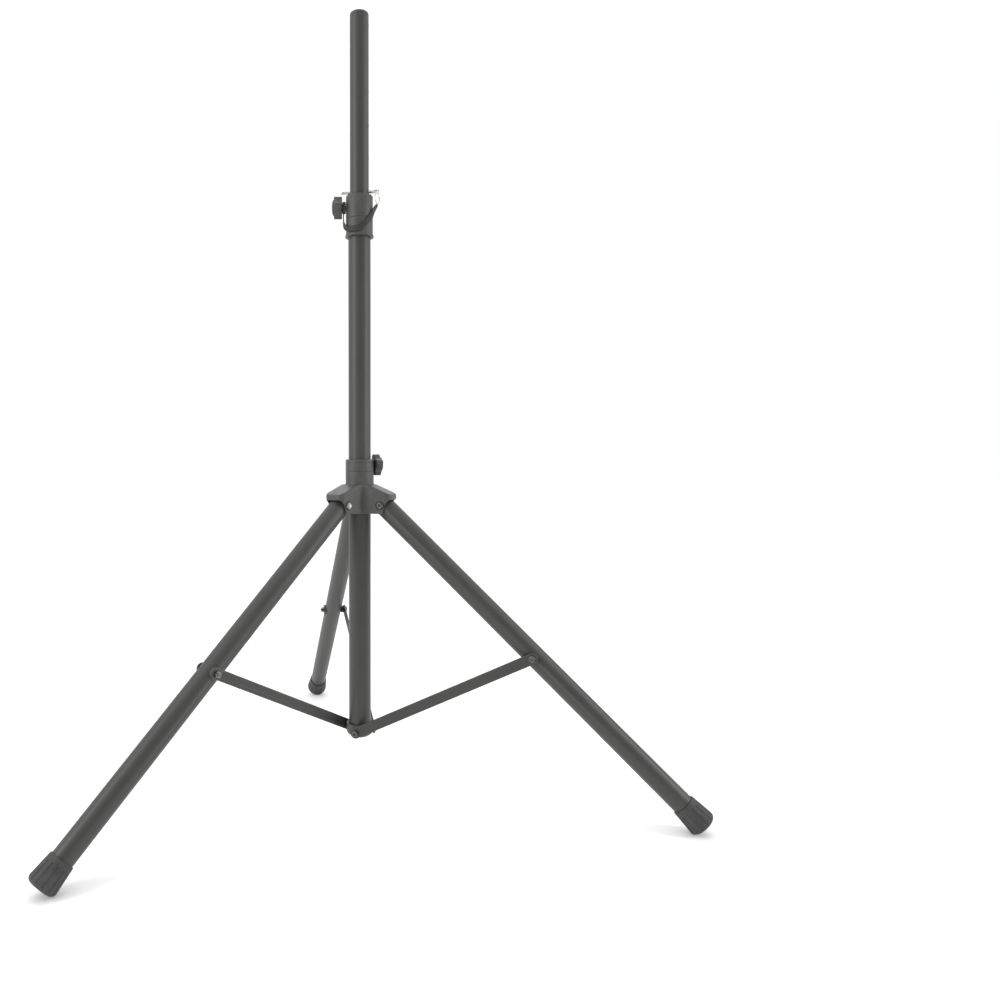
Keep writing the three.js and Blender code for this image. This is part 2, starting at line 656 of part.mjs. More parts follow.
function hubFittings() {
  const liner = pipe(COLUMN_R + GAP, HUB_BORE_R - GAP, HUB_BOTTOM + 1, HUB_TOP - 1);
  const window = alongX(rod(PAD_DIAMETER / 2 + GAP, -HUB_BORE_R - 2, -COLUMN_R + 3, KNOB_SIDES));
  const atKnob = (geometry) => geometry.translate(0, 0, HUB_KNOB_HEIGHT);
  return turnedGroup(
    HUB_KNOB_AZIMUTH + 180,
    mesh('hub_liner', cut(liner, atKnob(window)), NYLON),
    mesh('hub_insert', atKnob(insert(SLEEVE_R, HUB_BORE_R)), BRASS),
    mesh('hub_pad', atKnob(pad(COLUMN_R, HUB_BORE_R)), NYLON),
  );
}

function pivotBolt(side) {
  const seat = FORK_HALF - 2 + GAP;
  const r = PIVOT_BOLT_DIAMETER / 2;
  const headR = PIVOT_HEAD_DIAMETER / 2;
  const bolt = alongY(turned([
    [0, -seat - PIVOT_HEAD_HEIGHT],
    [headR - 1.2, -seat - PIVOT_HEAD_HEIGHT],
    [headR, -seat - PIVOT_HEAD_HEIGHT + 1.5],
    [headR, -seat],
    [r, -seat],
    [r, seat + PIVOT_HEAD_HEIGHT + 1],
    [0, seat + PIVOT_HEAD_HEIGHT + 1],
  ]));
  const nut = alongY(hexagon(PIVOT_NUT_ACROSS_CORNERS, seat, seat + PIVOT_HEAD_HEIGHT));
  const bore = alongY(rod(r + GAP, 0, seat + 20));
  const place = (geometry) => geometry.translate(PIVOT_RADIUS, 0, PIVOT_HEIGHT);
  return [
    mesh(`pivot_bolt_${side}`, place(bolt), BLACK_STEEL),
    mesh(`pivot_nut_${side}`, place(cut(nut, bore)), BLACK_STEEL),
  ];
}

// ---------------------------------------------------------------- legs
// Local frame of a leg: origin at its pivot, the tube along -Z, the strap on the -Y side.
function leg(side) {
  const inner = LEG_R - LEG_WALL;
  const end = -LEG_LENGTH + FOOT_LENGTH - LEG_IN_FOOT;
  const pivotHole = () => alongY(rod(PIVOT_BOLT_DIAMETER / 2 + GAP, -LEG_R - 5, LEG_R + 5));
  const boltHole = alongY(rod(BRACE_HOLE_R, -LEG_R - 5, LEG_R + 5)).translate(0, 0, -BRACE_ALONG_LEG);
  const tube = cut(pipe(inner, LEG_R, end, LEG_OVERHANG), pivotHole(), boltHole);
  const plug = cut(rod(inner - GAP, -LEG_PLUG_DEPTH, LEG_OVERHANG, TUBE_SIDES), pivotHole());
  const top = -LEG_LENGTH + FOOT_LENGTH;
  const base = -LEG_LENGTH;
  const round = arc(FOOT_FLAT_R, base + FOOT_ROUND, FOOT_ROUND, -90, 0, 4);
  const foot = turned([
    [0, base],
    ...round,
    [FOOT_TOP_DIAMETER / 2, top - 1.5],
    [FOOT_TOP_DIAMETER / 2 - 1, top],
    [LEG_R + GAP, top],
    [LEG_R + GAP, end - GAP],
    [0, end - GAP],
  ]);
  const group = new THREE.Group();
  group.position.set(PIVOT_RADIUS, 0, PIVOT_HEIGHT);
  group.rotation.y = -LEG_TILT;
  group.add(
    mesh(`leg_tube_${side}`, tube, POWDER_COAT),
    mesh(`leg_plug_${side}`, plug, NYLON),
    mesh(`foot_${side}`, foot, RUBBER),
    ...braceFittings(side).map((piece) => {
      piece.position.z = -BRACE_ALONG_LEG;
      return piece;
    }),
  );
  return group;
}

// Spacer on the strap's side, and the bolt's saddle washer and lock nut on the other. The bolt's
// shank ends flush with the spacer, and its head rides on the strap.
function braceFittings(side) {
  const r = BRACE_BOLT_DIAMETER / 2;
  const hole = BRACE_HOLE_R;
  const spacer = alongY(pipe(hole, SPACER_DIAMETER / 2, -BRACE_INNER + GAP, -LEG_R - GAP, KNOB_SIDES));
  const saddleTop = LEG_R + GAP + SADDLE_THICKNESS;
  const washer = cut(
    alongY(pipe(hole, SADDLE_DIAMETER / 2, LEG_R * 0.72, saddleTop, KNOB_SIDES)),
    rod(LEG_R + GAP, -SADDLE_DIAMETER, SADDLE_DIAMETER, TUBE_SIDES),
  );
  const nutStart = saddleTop + GAP;
  const nut = cut(
    alongY(hexagon(NUT_ACROSS_CORNERS, nutStart, nutStart + NUT_HEIGHT)),
    alongY(rod(hole, nutStart - 1, nutStart + NUT_HEIGHT + 1)),
  );
  const bolt = alongY(rod(r, -BRACE_INNER + GAP, nutStart + NUT_HEIGHT + 1.5));
  return [
    mesh(`brace_spacer_${side}`, spacer, NYLON),
    mesh(`brace_washer_${side}`, washer, MOULDING),
    mesh(`brace_nut_${side}`, nut, BLACK_STEEL),
    mesh(`brace_bolt_${side}`, bolt, BLACK_STEEL),
  ];
}

// ---------------------------------------------------------------- braces
// Local frame of a strap: origin at the bracket's screw, the strap along +X.
function brace(side) {
  const half = BRACE_WIDTH / 2;
  const outline = new THREE.Shape();
  outline.absarc(0, 0, half, Math.PI / 2, Math.PI * 1.5);
  outline.absarc(BRACE_LENGTH, 0, half, -Math.PI / 2, Math.PI / 2);
  for (const at of [0, BRACE_LENGTH]) {
    outline.holes.push(new THREE.Path().absarc(at, 0, BRACE_HOLE_R, 0, 2 * Math.PI));
  }
  const strap = upright(outline, -BRACE_OUTER, -BRACE_INNER);
  const face = -BRACE_OUTER - GAP;
  const headR = BRACE_HEAD_DIAMETER / 2;
  const head = alongY(turned([
    [0, face - BRACE_HEAD_HEIGHT],
    [headR - 1, face - BRACE_HEAD_HEIGHT],
    [headR, face - BRACE_HEAD_HEIGHT + 1.2],
    [headR, face],
    [BRACE_BOLT_DIAMETER / 2, face],
    [BRACE_BOLT_DIAMETER / 2, -BRACE_INNER - GAP],
    [0, -BRACE_INNER - GAP],
  ], SMALL_SIDES)).translate(BRACE_LENGTH, 0, 0);
  const group = new THREE.Group();
  group.position.z = BRACE_PIVOT_HEIGHT;
  group.rotation.y = -BRACE_RISE;
  group.add(
    mesh(`brace_strap_${side}`, strap, POWDER_COAT),
    mesh(`brace_bolt_head_${side}`, head, BLACK_STEEL),
  );
  return group;
}

// ---------------------------------------------------------------- assembly
const stand = new THREE.Group();
stand.name = 'speaker_tripod_stand';
stand.add(...mast(), column(), bracket(), collar(), tether(), tetherLoop(), pinSection());
stand.add(knobAt(
  COLLAR_TURN,
  COLLAR_KNOB_HEIGHT,
  knob('collar', COLLAR_R, COLUMN_BORE_R + GAP, {
    neck: COLLAR_KNOB_NECK,
    thickness: COLLAR_KNOB_THICKNESS,
    turn: 0,
  }),
));
stand.add(hub(), hubFittings());
stand.add(knobAt(
  HUB_KNOB_AZIMUTH + 180,
  HUB_KNOB_HEIGHT,
  knob('hub', SLEEVE_R, HUB_BORE_R + GAP, {
    neck: HUB_KNOB_NECK,
    thickness: HUB_KNOB_THICKNESS,
    turn: HUB_KNOB_TURN,
  }),
));
for (const [side, azimuth] of Object.entries(LEGS)) {
  stand.add(turnedGroup(azimuth, bracketScrew(`bracket_screw_${side}`)));
  stand.add(turnedGroup(azimuth, ...pivotBolt(side), leg(side), brace(side)));
}
// The origin is on the floor under the middle of the footprint.
const footprint = new THREE.Box3().setFromObject(stand, true);
stand.position.y = -(footprint.min.y + footprint.max.y) / 2;

export default stand;
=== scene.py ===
"""Dresses a folding loudspeaker stand: tubes, mouldings, knobs, pin, strap and feet."""

import json
import math

import bmesh
import bpy
from bpy.props import FloatProperty, FloatVectorProperty, IntProperty, PointerProperty
from mathutils import Matrix, Vector


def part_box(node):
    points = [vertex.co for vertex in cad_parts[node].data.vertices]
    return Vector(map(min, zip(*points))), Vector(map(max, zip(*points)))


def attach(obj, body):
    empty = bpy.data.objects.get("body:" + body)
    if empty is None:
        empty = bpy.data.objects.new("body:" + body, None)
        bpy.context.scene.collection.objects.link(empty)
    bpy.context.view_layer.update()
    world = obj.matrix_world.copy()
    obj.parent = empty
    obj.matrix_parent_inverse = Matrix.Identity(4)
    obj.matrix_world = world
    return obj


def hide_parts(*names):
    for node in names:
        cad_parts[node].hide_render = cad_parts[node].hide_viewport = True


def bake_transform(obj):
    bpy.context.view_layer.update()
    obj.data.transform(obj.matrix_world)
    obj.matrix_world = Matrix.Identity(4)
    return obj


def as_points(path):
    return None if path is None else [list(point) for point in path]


bl_info = {
    "name": "Loudspeaker tripod stand",
    "version": (1, 0, 0),
    "blender": (4, 5, 0),
    "location": "View3D > Sidebar > Stand",
    "description": "Builds the visible pieces of a folding loudspeaker stand round its packed frame",
    "category": "Object",
}

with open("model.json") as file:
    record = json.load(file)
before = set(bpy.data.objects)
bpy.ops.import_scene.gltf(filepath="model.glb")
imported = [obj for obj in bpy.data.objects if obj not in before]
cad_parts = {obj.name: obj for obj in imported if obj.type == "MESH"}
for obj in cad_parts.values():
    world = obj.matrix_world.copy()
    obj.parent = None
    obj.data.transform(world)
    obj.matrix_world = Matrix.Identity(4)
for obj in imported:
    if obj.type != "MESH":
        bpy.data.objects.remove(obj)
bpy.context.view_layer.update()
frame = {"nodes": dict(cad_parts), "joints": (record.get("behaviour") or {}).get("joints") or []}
JOINTS = {joint["name"]: joint for joint in frame["joints"]}
SIDES = ("left", "right", "back")
MM = 0.001
GAP = 0.3 * MM  # the frame's clearance between pieces
MAST_WALL = 2 * MM
COLUMN_WALL = 1.5 * MM
LEG_WALL = 1.5 * MM
STRAP_HOLE = 3.3 * MM  # radius of the holes for the straps' bolts
PIVOT_HOLE = 4.3 * MM  # radius of the holes for the pivots' bolts and the knobs' screws
INSERT_HOLE = 6.3 * MM  # radius of the holes for the knobs' threaded inserts
ALONG_X = Matrix.Rotation(math.radians(90), 4, "Y")
ALONG_Y = Matrix.Rotation(math.radians(-90), 4, "X")


# ---------------------------------------------------------------- the frame's measures
def middle(node):
    low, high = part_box(node)
    return (low + high) / 2


def span(node, matrix):
    """The lowest and highest corner of a node, measured in the frame that matrix places."""
    back = matrix.inverted()
    corners = [back @ v.co for v in frame["nodes"][node].data.vertices]
    return (
        Vector(min(c[i] for c in corners) for i in range(3)),
        Vector(max(c[i] for c in corners) for i in range(3)),
    )


def upright_at(height=0.0, azimuth=0.0):
    """A frame on the column's axis at a height, with its X axis turned to an azimuth in radians."""
    centre = middle("column_tube")
    place = Matrix.Translation((centre.x, centre.y, height))
    return place @ Matrix.Rotation(azimuth, 4, "Z")


def leg_azimuth(side):
    x, y, _ = JOINTS[f"leg_fold_{side}"]["axis"]
    return math.atan2(-x, y)


def in_leg_plane(point, origin, azimuth):
    """How far a point lies outward and up from an origin, in a leg's own plane."""
    offset = point - origin
    return offset.x * math.cos(azimuth) + offset.y * math.sin(azimuth), offset.z


def leg_frame(side):
    """A leg's own frame: its pivot, with the tube along -Z and the strap's side towards -Y."""
    azimuth = leg_azimuth(side)
    pivot = Vector(JOINTS[f"leg_fold_{side}"]["pos_m"])
    out, up = in_leg_plane(middle(f"brace_spacer_{side}"), pivot, azimuth)
    turn = Matrix.Rotation(azimuth, 4, "Z") @ Matrix.Rotation(-math.atan2(out, -up), 4, "Y")
    return Matrix.Translation(pivot) @ turn


def pivot_frame(side):
    """The leg's pivot, with X outward and Y along the bolt."""
    place = Matrix.Translation(JOINTS[f"leg_fold_{side}"]["pos_m"])
    return place @ Matrix.Rotation(leg_azimuth(side), 4, "Z")


def screw_frame(side):
    """The column's axis at the height of the bracket's screws, with X towards one of them."""
    return upright_at(JOINTS[f"brace_fold_{side}"]["pos_m"][2], leg_azimuth(side))


def brace_frame(side):
    """A strap's own frame: the bracket's screw, with the strap along +X."""
    place, azimuth = screw_frame(side), leg_azimuth(side)
    out, up = in_leg_plane(middle(f"brace_bolt_head_{side}"), place.translation, azimuth)
    return place @ Matrix.Rotation(-math.atan2(up, out), 4, "Y")


def outward_frame(joint):
    """A knob's own frame: its joint's point, with +Z outward along the screw."""
    axis = Vector(JOINTS[joint]["axis"])
    place = Matrix.Translation(JOINTS[joint]["pos_m"])
    return place @ axis.to_track_quat("Z", "Y").to_matrix().to_4x4()


# ---------------------------------------------------------------- modelling by hand
def only(obj):
    """Leaves one object selected and active."""
    if bpy.context.mode != "OBJECT":
        bpy.ops.object.mode_set(mode="OBJECT")
    bpy.ops.object.select_all(action="DESELECT")
    obj.select_set(True)
    bpy.context.view_layer.objects.active = obj
    return obj


def editing(obj, kind="FACE"):
    only(obj)
    bpy.ops.object.mode_set(mode="EDIT")
    bpy.ops.mesh.select_mode(type=kind)
    bpy.ops.mesh.select_all(action="DESELECT")


def made():
    """Ends an edit and returns the object."""
    bpy.ops.object.mode_set(mode="OBJECT")
    return bpy.context.view_layer.objects.active


def primitive(kind, **settings):
    """Adds a primitive by itself, at the origin unless told otherwise."""
    if bpy.context.mode != "OBJECT":
        bpy.ops.object.mode_set(mode="OBJECT")
    bpy.ops.object.select_all(action="DESELECT")
    getattr(bpy.ops.mesh, f"primitive_{kind}_add")(**settings)
    return bpy.context.view_layer.objects.active


def pick(obj, kind, test):
    """In edit mode, selects the corners, edges or faces that pass a test."""
    bpy.ops.mesh.select_mode(type=kind)
    bpy.ops.mesh.select_all(action="DESELECT")
    shape = bmesh.from_edit_mesh(obj.data)
    shape.normal_update()
    for item in {"VERT": shape.verts, "EDGE": shape.edges, "FACE": shape.faces}[kind]:
        if test(item):
            item.select = True
    shape.select_flush_mode()
    bmesh.update_edit_mesh(obj.data)


def chain(points, closed=False):
    """One corner extruded from point to point. The new edges stay in edit mode."""
    obj = primitive("plane", size=MM)
    bpy.ops.object.mode_set(mode="EDIT")
    bpy.ops.mesh.select_mode(type="VERT")
    bpy.ops.mesh.select_all(action="SELECT")
    bpy.ops.mesh.merge(type="CENTER")
    bpy.ops.transform.translate(value=points[0])
    for here, there in zip(points, points[1:]):
        step = Vector(there) - Vector(here)
        bpy.ops.mesh.extrude_region_move(TRANSFORM_OT_translate={"value": step})
    bpy.ops.mesh.select_all(action="SELECT")
    if closed:
        bpy.ops.mesh.edge_face_add()
    return obj


def spun(profile, sides=72, closed=True):
    """A profile of (radius, height) turned about Z. A closed one is a ring with a wall."""
    points = [(radius, 0, height) for radius, height in profile]
    obj = chain(points + points[:1] if closed else points)
    bpy.ops.mesh.remove_doubles(threshold=1e-7)
    bpy.ops.mesh.spin(steps=sides, angle=math.tau, center=(0, 0, 0), axis=(0, 0, 1))
    bpy.ops.mesh.select_all(action="SELECT")
    bpy.ops.mesh.remove_doubles(threshold=1e-6)
    bpy.ops.mesh.normals_make_consistent(inside=False)
    made()
    return obj


def open_tube(radius, wall, heights, sides, rim):
    """A tube along Z with a ring of corners at each height, and rounded rims."""
    outer = [(radius, z) for z in heights]
    inner = [(radius - wall, z) for z in reversed(heights)]
    return bevelled(spun(outer + inner, sides), rim)


def flat_ring(bore, radius, low, high, sides):
    return spun([(bore, low), (radius, low), (radius, high), (bore, high)], sides)


def evenly(low, high, steps):
    """Heights from low to high with even steps between them."""
    return [low, *(low + (high - low) * i / steps for i in range(1, steps)), high]


def slab(outline, low, high):
    """An outline of (x, z) in the plane Y = 0, thickened from Y = low to Y = high."""
    obj = chain([(x, low, z) for x, z in outline], closed=True)
    bpy.ops.mesh.extrude_region_move(TRANSFORM_OT_translate={"value": (0, high - low, 0)})
    bpy.ops.mesh.select_all(action="SELECT")
    bpy.ops.mesh.normals_make_consistent(inside=False)
    made()
    return obj


def prism(radius, low, high, sides):
    """A plain rod or hexagon along Z, used as a blank or to cut with."""
    obj = primitive("cylinder", vertices=sides, radius=radius, depth=high - low)
    bpy.ops.object.mode_set(mode="EDIT")
    bpy.ops.mesh.select_all(action="SELECT")
    bpy.ops.transform.translate(value=(0, 0, (low + high) / 2))
    return made()


def applied(obj, kind, **settings):
    """Adds a modifier, sets it and applies it."""
    only(obj)
    bpy.ops.object.modifier_add(type=kind)
    modifier = obj.modifiers[-1]
    for name, value in settings.items():
        setattr(modifier, name, value)
    bpy.ops.object.modifier_apply(modifier=modifier.name)
    return obj


def bevelled(obj, width, segments=3, angle=30):
    return applied(
        obj, "BEVEL", width=width, segments=segments, limit_method="ANGLE",
        angle_limit=math.radians(angle), harden_normals=False,
    )


def combined(obj, tool, operation="DIFFERENCE"):
    """Cuts, joins or trims an object with another, which is used up."""
    applied(obj, "BOOLEAN", operation=operation, object=tool, solver="EXACT")
    bpy.data.objects.remove(tool)
    return obj


def strap_screw_holes(obj, start, end):
    """Drills the bracket's three screw holes through a wall, between two radii."""
    height = JOINTS["brace_fold_left"]["pos_m"][2]
    for side in SIDES:
        drill = prism(STRAP_HOLE, start, end, 24)
        turned = Matrix.Rotation(leg_azimuth(side) - math.pi / 2, 4, "Z") @ ALONG_X
        combined(obj, placed(drill, Matrix.Translation((0, 0, height)) @ turned))


def placed(obj, matrix):
    """Puts an object's mesh where matrix says, and leaves the object at the origin."""
    only(obj)
    obj.matrix_world = matrix
    bpy.ops.object.transform_apply(location=True, rotation=True, scale=True)
    return obj


def copied(obj):
    only(obj)
    bpy.ops.object.duplicate(linked=False)
    return bpy.context.view_layer.objects.active


def dressed(obj, name, body, slot, nodes, angle=30):
    """Names a finished piece, gives it its finish, and sets what it stands for and rides on."""
    only(obj)
    bpy.ops.object.shade_smooth_by_angle(angle=math.radians(angle))
    obj.name = obj.data.name = name
    obj.data.materials.clear()
    obj.data.materials.append(finish(slot))
    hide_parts(*nodes)
    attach(obj, body)
    return obj


def on_each_side(blank, place, name, body, slot, node, angle=30):
    """Puts a dressed copy of a blank on each side, where place says, and removes the blank."""
    for side in SIDES:
        piece = placed(copied(blank), place(side))
        dressed(piece, f"{name}_{side}", body.format(side), slot, [f"{node}_{side}"], angle)
    bpy.data.objects.remove(blank)


def arc(centre_r, centre_z, radius, start, end, steps):
    """Points (radius, height) along an arc, from start to end in degrees."""
    turns = [math.radians(start + (end - start) * i / steps) for i in range(steps + 1)]
    return [(centre_r + radius * math.cos(t), centre_z + radius * math.sin(t)) for t in turns]


# ---------------------------------------------------------------- finishes
class Value:
    """A socket whose arithmetic adds Math nodes."""

    def __init__(self, maker, socket):
        self.maker = maker
        self.socket = socket

    def _math(self, operation, first, second):
        return self.maker.node("ShaderNodeMath", {"operation": operation}, {0: first, 1: second})

    def __add__(self, other):
        return self._math("ADD", self, other)

    def __radd__(self, other):
        return self._math("ADD", other, self)

    def __sub__(self, other):
        return self._math("SUBTRACT", self, other)

    def __mul__(self, other):
        return self._math("MULTIPLY", self, other)


class Maker:
    """Builds one material's nodes."""

    def __init__(self, name):
        self.material = bpy.data.materials.new(f"{name}_finish")
        self.material.use_nodes = True
        self.tree = self.material.node_tree
        self.shader = self.tree.nodes["Principled BSDF"]

    def node(self, kind, settings=None, sockets=None, output=0):
        """Adds a node with its settings and its sockets' values or links; returns an output."""
        made_node = self.tree.nodes.new(kind)
        for name, value in (settings or {}).items():
            if name == "stops":
                self._stops(made_node.color_ramp, value)
            else:
                setattr(made_node, name, value)
        for key, value in (sockets or {}).items():
            self.feed(made_node.inputs[key], value)
        return Value(self, made_node.outputs[output])

    @staticmethod
    def _stops(ramp, stops):
        while len(ramp.elements) < len(stops):
            ramp.elements.new(0.5)
        for element, (position, level) in zip(ramp.elements, stops):
            element.position = position
            element.color = (level, level, level, 1)

    def feed(self, socket, value):
        if isinstance(value, Value):
            self.tree.links.new(value.socket, socket)
        else:
            socket.default_value = value

    def set(self, **sockets):
        """Feeds the shader's own sockets, named with underscores for spaces."""
        for name, value in sockets.items():
            self.feed(self.shader.inputs[name.replace("_", " ")], value)

    def place(self, stretch=(1, 1, 1)):
        """Object coordinates, squeezed or stretched along the axes."""
        where = self.node("ShaderNodeTexCoord", output="Object")
        if stretch == (1, 1, 1):
            return where
        return self.node("ShaderNodeMapping", sockets={"Vector": where, "Scale": stretch})

    def noise(self, size, where=None, detail=2.0, rough=0.5):
        """Noise from 0 to 1 with features of a size in metres."""
        return self.node(
            "ShaderNodeTexNoise",
            sockets={
                "Vector": where or self.place(), "Scale": 1 / size,
                "Detail": detail, "Roughness": rough,
            },
        )

    def ramp(self, value, *stops):
        return self.node("ShaderNodeValToRGB", {"stops": stops}, {0: value})

    def blend(self, factor, first, second):
        """A colour between two others."""
        return self.node(
            "ShaderNodeMix", {"data_type": "RGBA"}, {0: factor, 6: first, 7: second}, output=2
        )

    def edges(self, low=0.52, high=0.6):
        """From 0 on flats to 1 on outward edges."""
        where = self.node("ShaderNodeNewGeometry", output="Pointiness")
        return self.ramp(where, (low, 0.0), (high, 1.0))

    def bump(self, height, depth, strength=1.0):
        return self.node(
            "ShaderNodeBump",
            sockets={"Height": height, "Distance": depth, "Strength": strength},
        )


def tint(colour, share=1.0):
    """A colour with its opacity, lighter or darker by a share."""
    return tuple(min(1.0, c * share) for c in colour) + (1.0,)


def powder_coat(look):
    maker = Maker("powder_coat")
    grain = maker.noise(0.45 * MM)
    peel = maker.noise(2.4 * MM)
    cloud = maker.noise(60 * MM, detail=4.0)
    scuffs = maker.ramp(maker.noise(0.9 * MM, maker.place((1, 1, 0.03))), (0.66, 0.0), (0.74, 1.0))
    patchy = maker.ramp(maker.noise(35 * MM), (0.5, 0.0), (0.7, 1.0))
    edge_wear_and_highlight = maker.edges()
    coat = maker.blend(cloud, tint(look.coat, 0.88), tint(look.coat, 1.14))
    coat = maker.blend(scuffs * patchy * 0.35, coat, tint(look.coat, 2.2))
    # Lighter on outward edges: partly wear, partly a painted highlight where the edges catch the
    # light.
    coat = maker.blend(edge_wear_and_highlight * 0.35, coat, tint(look.coat, 2.6))
    maker.set(
        Base_Color=coat,
        Roughness=look.coat_roughness - 0.07 + grain * 0.08 + cloud * 0.1 - scuffs * patchy * 0.06,
        Normal=maker.bump(grain * 0.6 + peel, 0.06 * MM, 0.55),
        Specular_IOR_Level=0.5,
    )
    return maker.material


def moulding(look):
    maker = Maker("moulding")
    grain = maker.noise(0.35 * MM, detail=3.0)
    flow = maker.noise(9 * MM, maker.place((1, 1, 0.35)), detail=3.0)
    dust = maker.ramp(maker.noise(16 * MM, detail=6.0, rough=0.65), (0.48, 0.0), (0.75, 1.0))
    edge_wear_and_highlight = maker.edges(0.53, 0.62)
    plastic = maker.blend(flow, tint(look.plastic, 0.9), tint(look.plastic, 1.12))
    plastic = maker.blend(dust * 0.16, plastic, tint(look.dust))
    # Lighter on outward edges: partly wear, partly a painted highlight where the edges catch the
    # light.
    plastic = maker.blend(edge_wear_and_highlight * 0.3, plastic, tint(look.plastic, 2.2))
    maker.set(
        Base_Color=plastic,
        Roughness=look.plastic_roughness - 0.05 + flow * 0.08 + dust * 0.08,
        Normal=maker.bump(grain, 0.05 * MM, 0.6),
        Specular_IOR_Level=0.5,
    )
    return maker.material


def nylon(look):
    maker = Maker("nylon")
    grain = maker.noise(0.6 * MM, detail=3.0)
    cloud = maker.noise(7 * MM)
    maker.set(
        Base_Color=maker.blend(cloud, tint(look.nylon, 0.8), tint(look.nylon, 1.3)),
        Roughness=0.42 + cloud * 0.12,
        Normal=maker.bump(grain, 0.03 * MM, 0.5),
    )
    return maker.material


def rubber(look):
    maker = Maker("rubber")
    grain = maker.noise(0.5 * MM, detail=4.0, rough=0.65)
    cloud = maker.noise(14 * MM, detail=5.0, rough=0.6)
    dust = maker.ramp(cloud, (0.42, 0.0), (0.72, 1.0))
    edge_scuffs_and_highlight = maker.edges(0.51, 0.58)
    skin = maker.blend(dust * 0.25, tint(look.rubber), tint(look.dust, 0.9))
    # Lighter on outward edges: partly scuffing, partly a painted highlight where the edges catch the
    # light.
    skin = maker.blend(edge_scuffs_and_highlight * 0.3, skin, tint(look.rubber, 2.6))
    maker.set(
        Base_Color=skin,
        Roughness=0.62 + dust * 0.2,
        Normal=maker.bump(grain, 0.09 * MM, 0.7),
    )
    return maker.material


def strap(look):
    maker = Maker("strap")
    grain = maker.noise(0.5 * MM, detail=4.0, rough=0.6)
    creases_and_shade = maker.noise(3 * MM, maker.place((1, 1, 2)), detail=3.0)
    edge_rubbing_and_highlight = maker.edges(0.51, 0.57)
    # The colour follows the creases' bump: darker in its hollows and lighter on its ridges, a
    # painted shade.
    skin = maker.blend(creases_and_shade, tint(look.strap, 0.75), tint(look.strap, 1.3))
    # Lighter on outward edges: partly rubbing wear, partly a painted highlight where the edges catch
    # the light.
    maker.set(
        Base_Color=maker.blend(edge_rubbing_and_highlight * 0.35, skin, tint(look.strap, 3.0)),
        Roughness=0.55 + creases_and_shade * 0.2,
        Normal=maker.bump(grain * 0.6 + creases_and_shade, 0.12 * MM, 0.6),
    )
    return maker.material


def black_steel(look):
    maker = Maker("black_steel")
    grain = maker.noise(0.4 * MM, detail=3.0)
    cloud = maker.noise(4 * MM, detail=4.0)
    edge_wear_and_highlight = maker.edges(0.52, 0.58)
    bare = maker.ramp(maker.noise(1.5 * MM, detail=4.0), (0.4, 0.2), (0.65, 1.0))
    oxide = maker.blend(cloud, tint(look.steel, 0.8), tint(look.steel, 1.3))
    maker.set(
        Base_Color=maker.blend(edge_wear_and_highlight * bare * 0.8, oxide, (0.32, 0.31, 0.3, 1.0)),
        Metallic=0.75 + edge_wear_and_highlight * 0.2,
        Roughness=0.22 + cloud * 0.14,
        Normal=maker.bump(grain, 0.02 * MM, 0.5),
    )
    return maker.material


def chrome(look):
    maker = Maker("chrome")
    smear = maker.noise(3 * MM, maker.place((0.4, 1, 1)), detail=3.0)
    specks = maker.ramp(maker.noise(0.5 * MM), (0.68, 0.0), (0.76, 1.0))
    maker.set(
        Base_Color=maker.blend(specks * 0.5, tint(look.chrome), (0.42, 0.36, 0.22, 1.0)),
        Metallic=1.0,
        Roughness=0.08 + smear * 0.12 + specks * 0.2,
        Normal=maker.bump(smear, 0.01 * MM, 0.4),
    )
    return maker.material


def brass(look):
    maker = Maker("brass")
    turned = maker.noise(0.3 * MM, detail=2.0)
    cloud = maker.noise(2 * MM, detail=3.0)
    maker.set(
        Base_Color=maker.blend(cloud, tint(look.brass, 0.75), tint(look.brass, 1.15)),
        Metallic=1.0,
        Roughness=0.28 + cloud * 0.15,
        Normal=maker.bump(turned, 0.01 * MM, 0.5),
    )
    return maker.material


FINISHES = {
    "powder_coat": powder_coat,
    "moulding": moulding,
    "nylon": nylon,
    "rubber": rubber,
    "strap": strap,
    "black_steel": black_steel,
    "chrome": chrome,
    "brass": brass,
}


def finish(slot):
    """The material of a slot, made the first time that it is asked for. The frame's own plain
    materials have the slots' names, so these have names of their own."""
    ready = bpy.data.materials.get(f"{slot}_finish")
    return ready or FINISHES[slot](bpy.context.scene.stand_look)


# ---------------------------------------------------------------- sizes and colours
def length(name, description, millimetres):
    return FloatProperty(
        name=name, description=description, default=millimetres * MM, unit="LENGTH", min=0.0
    )


def colour(name, description, *default):
    return FloatVectorProperty(
        name=name, description=description, default=default, subtype="COLOR", min=0.0, max=1.0
    )


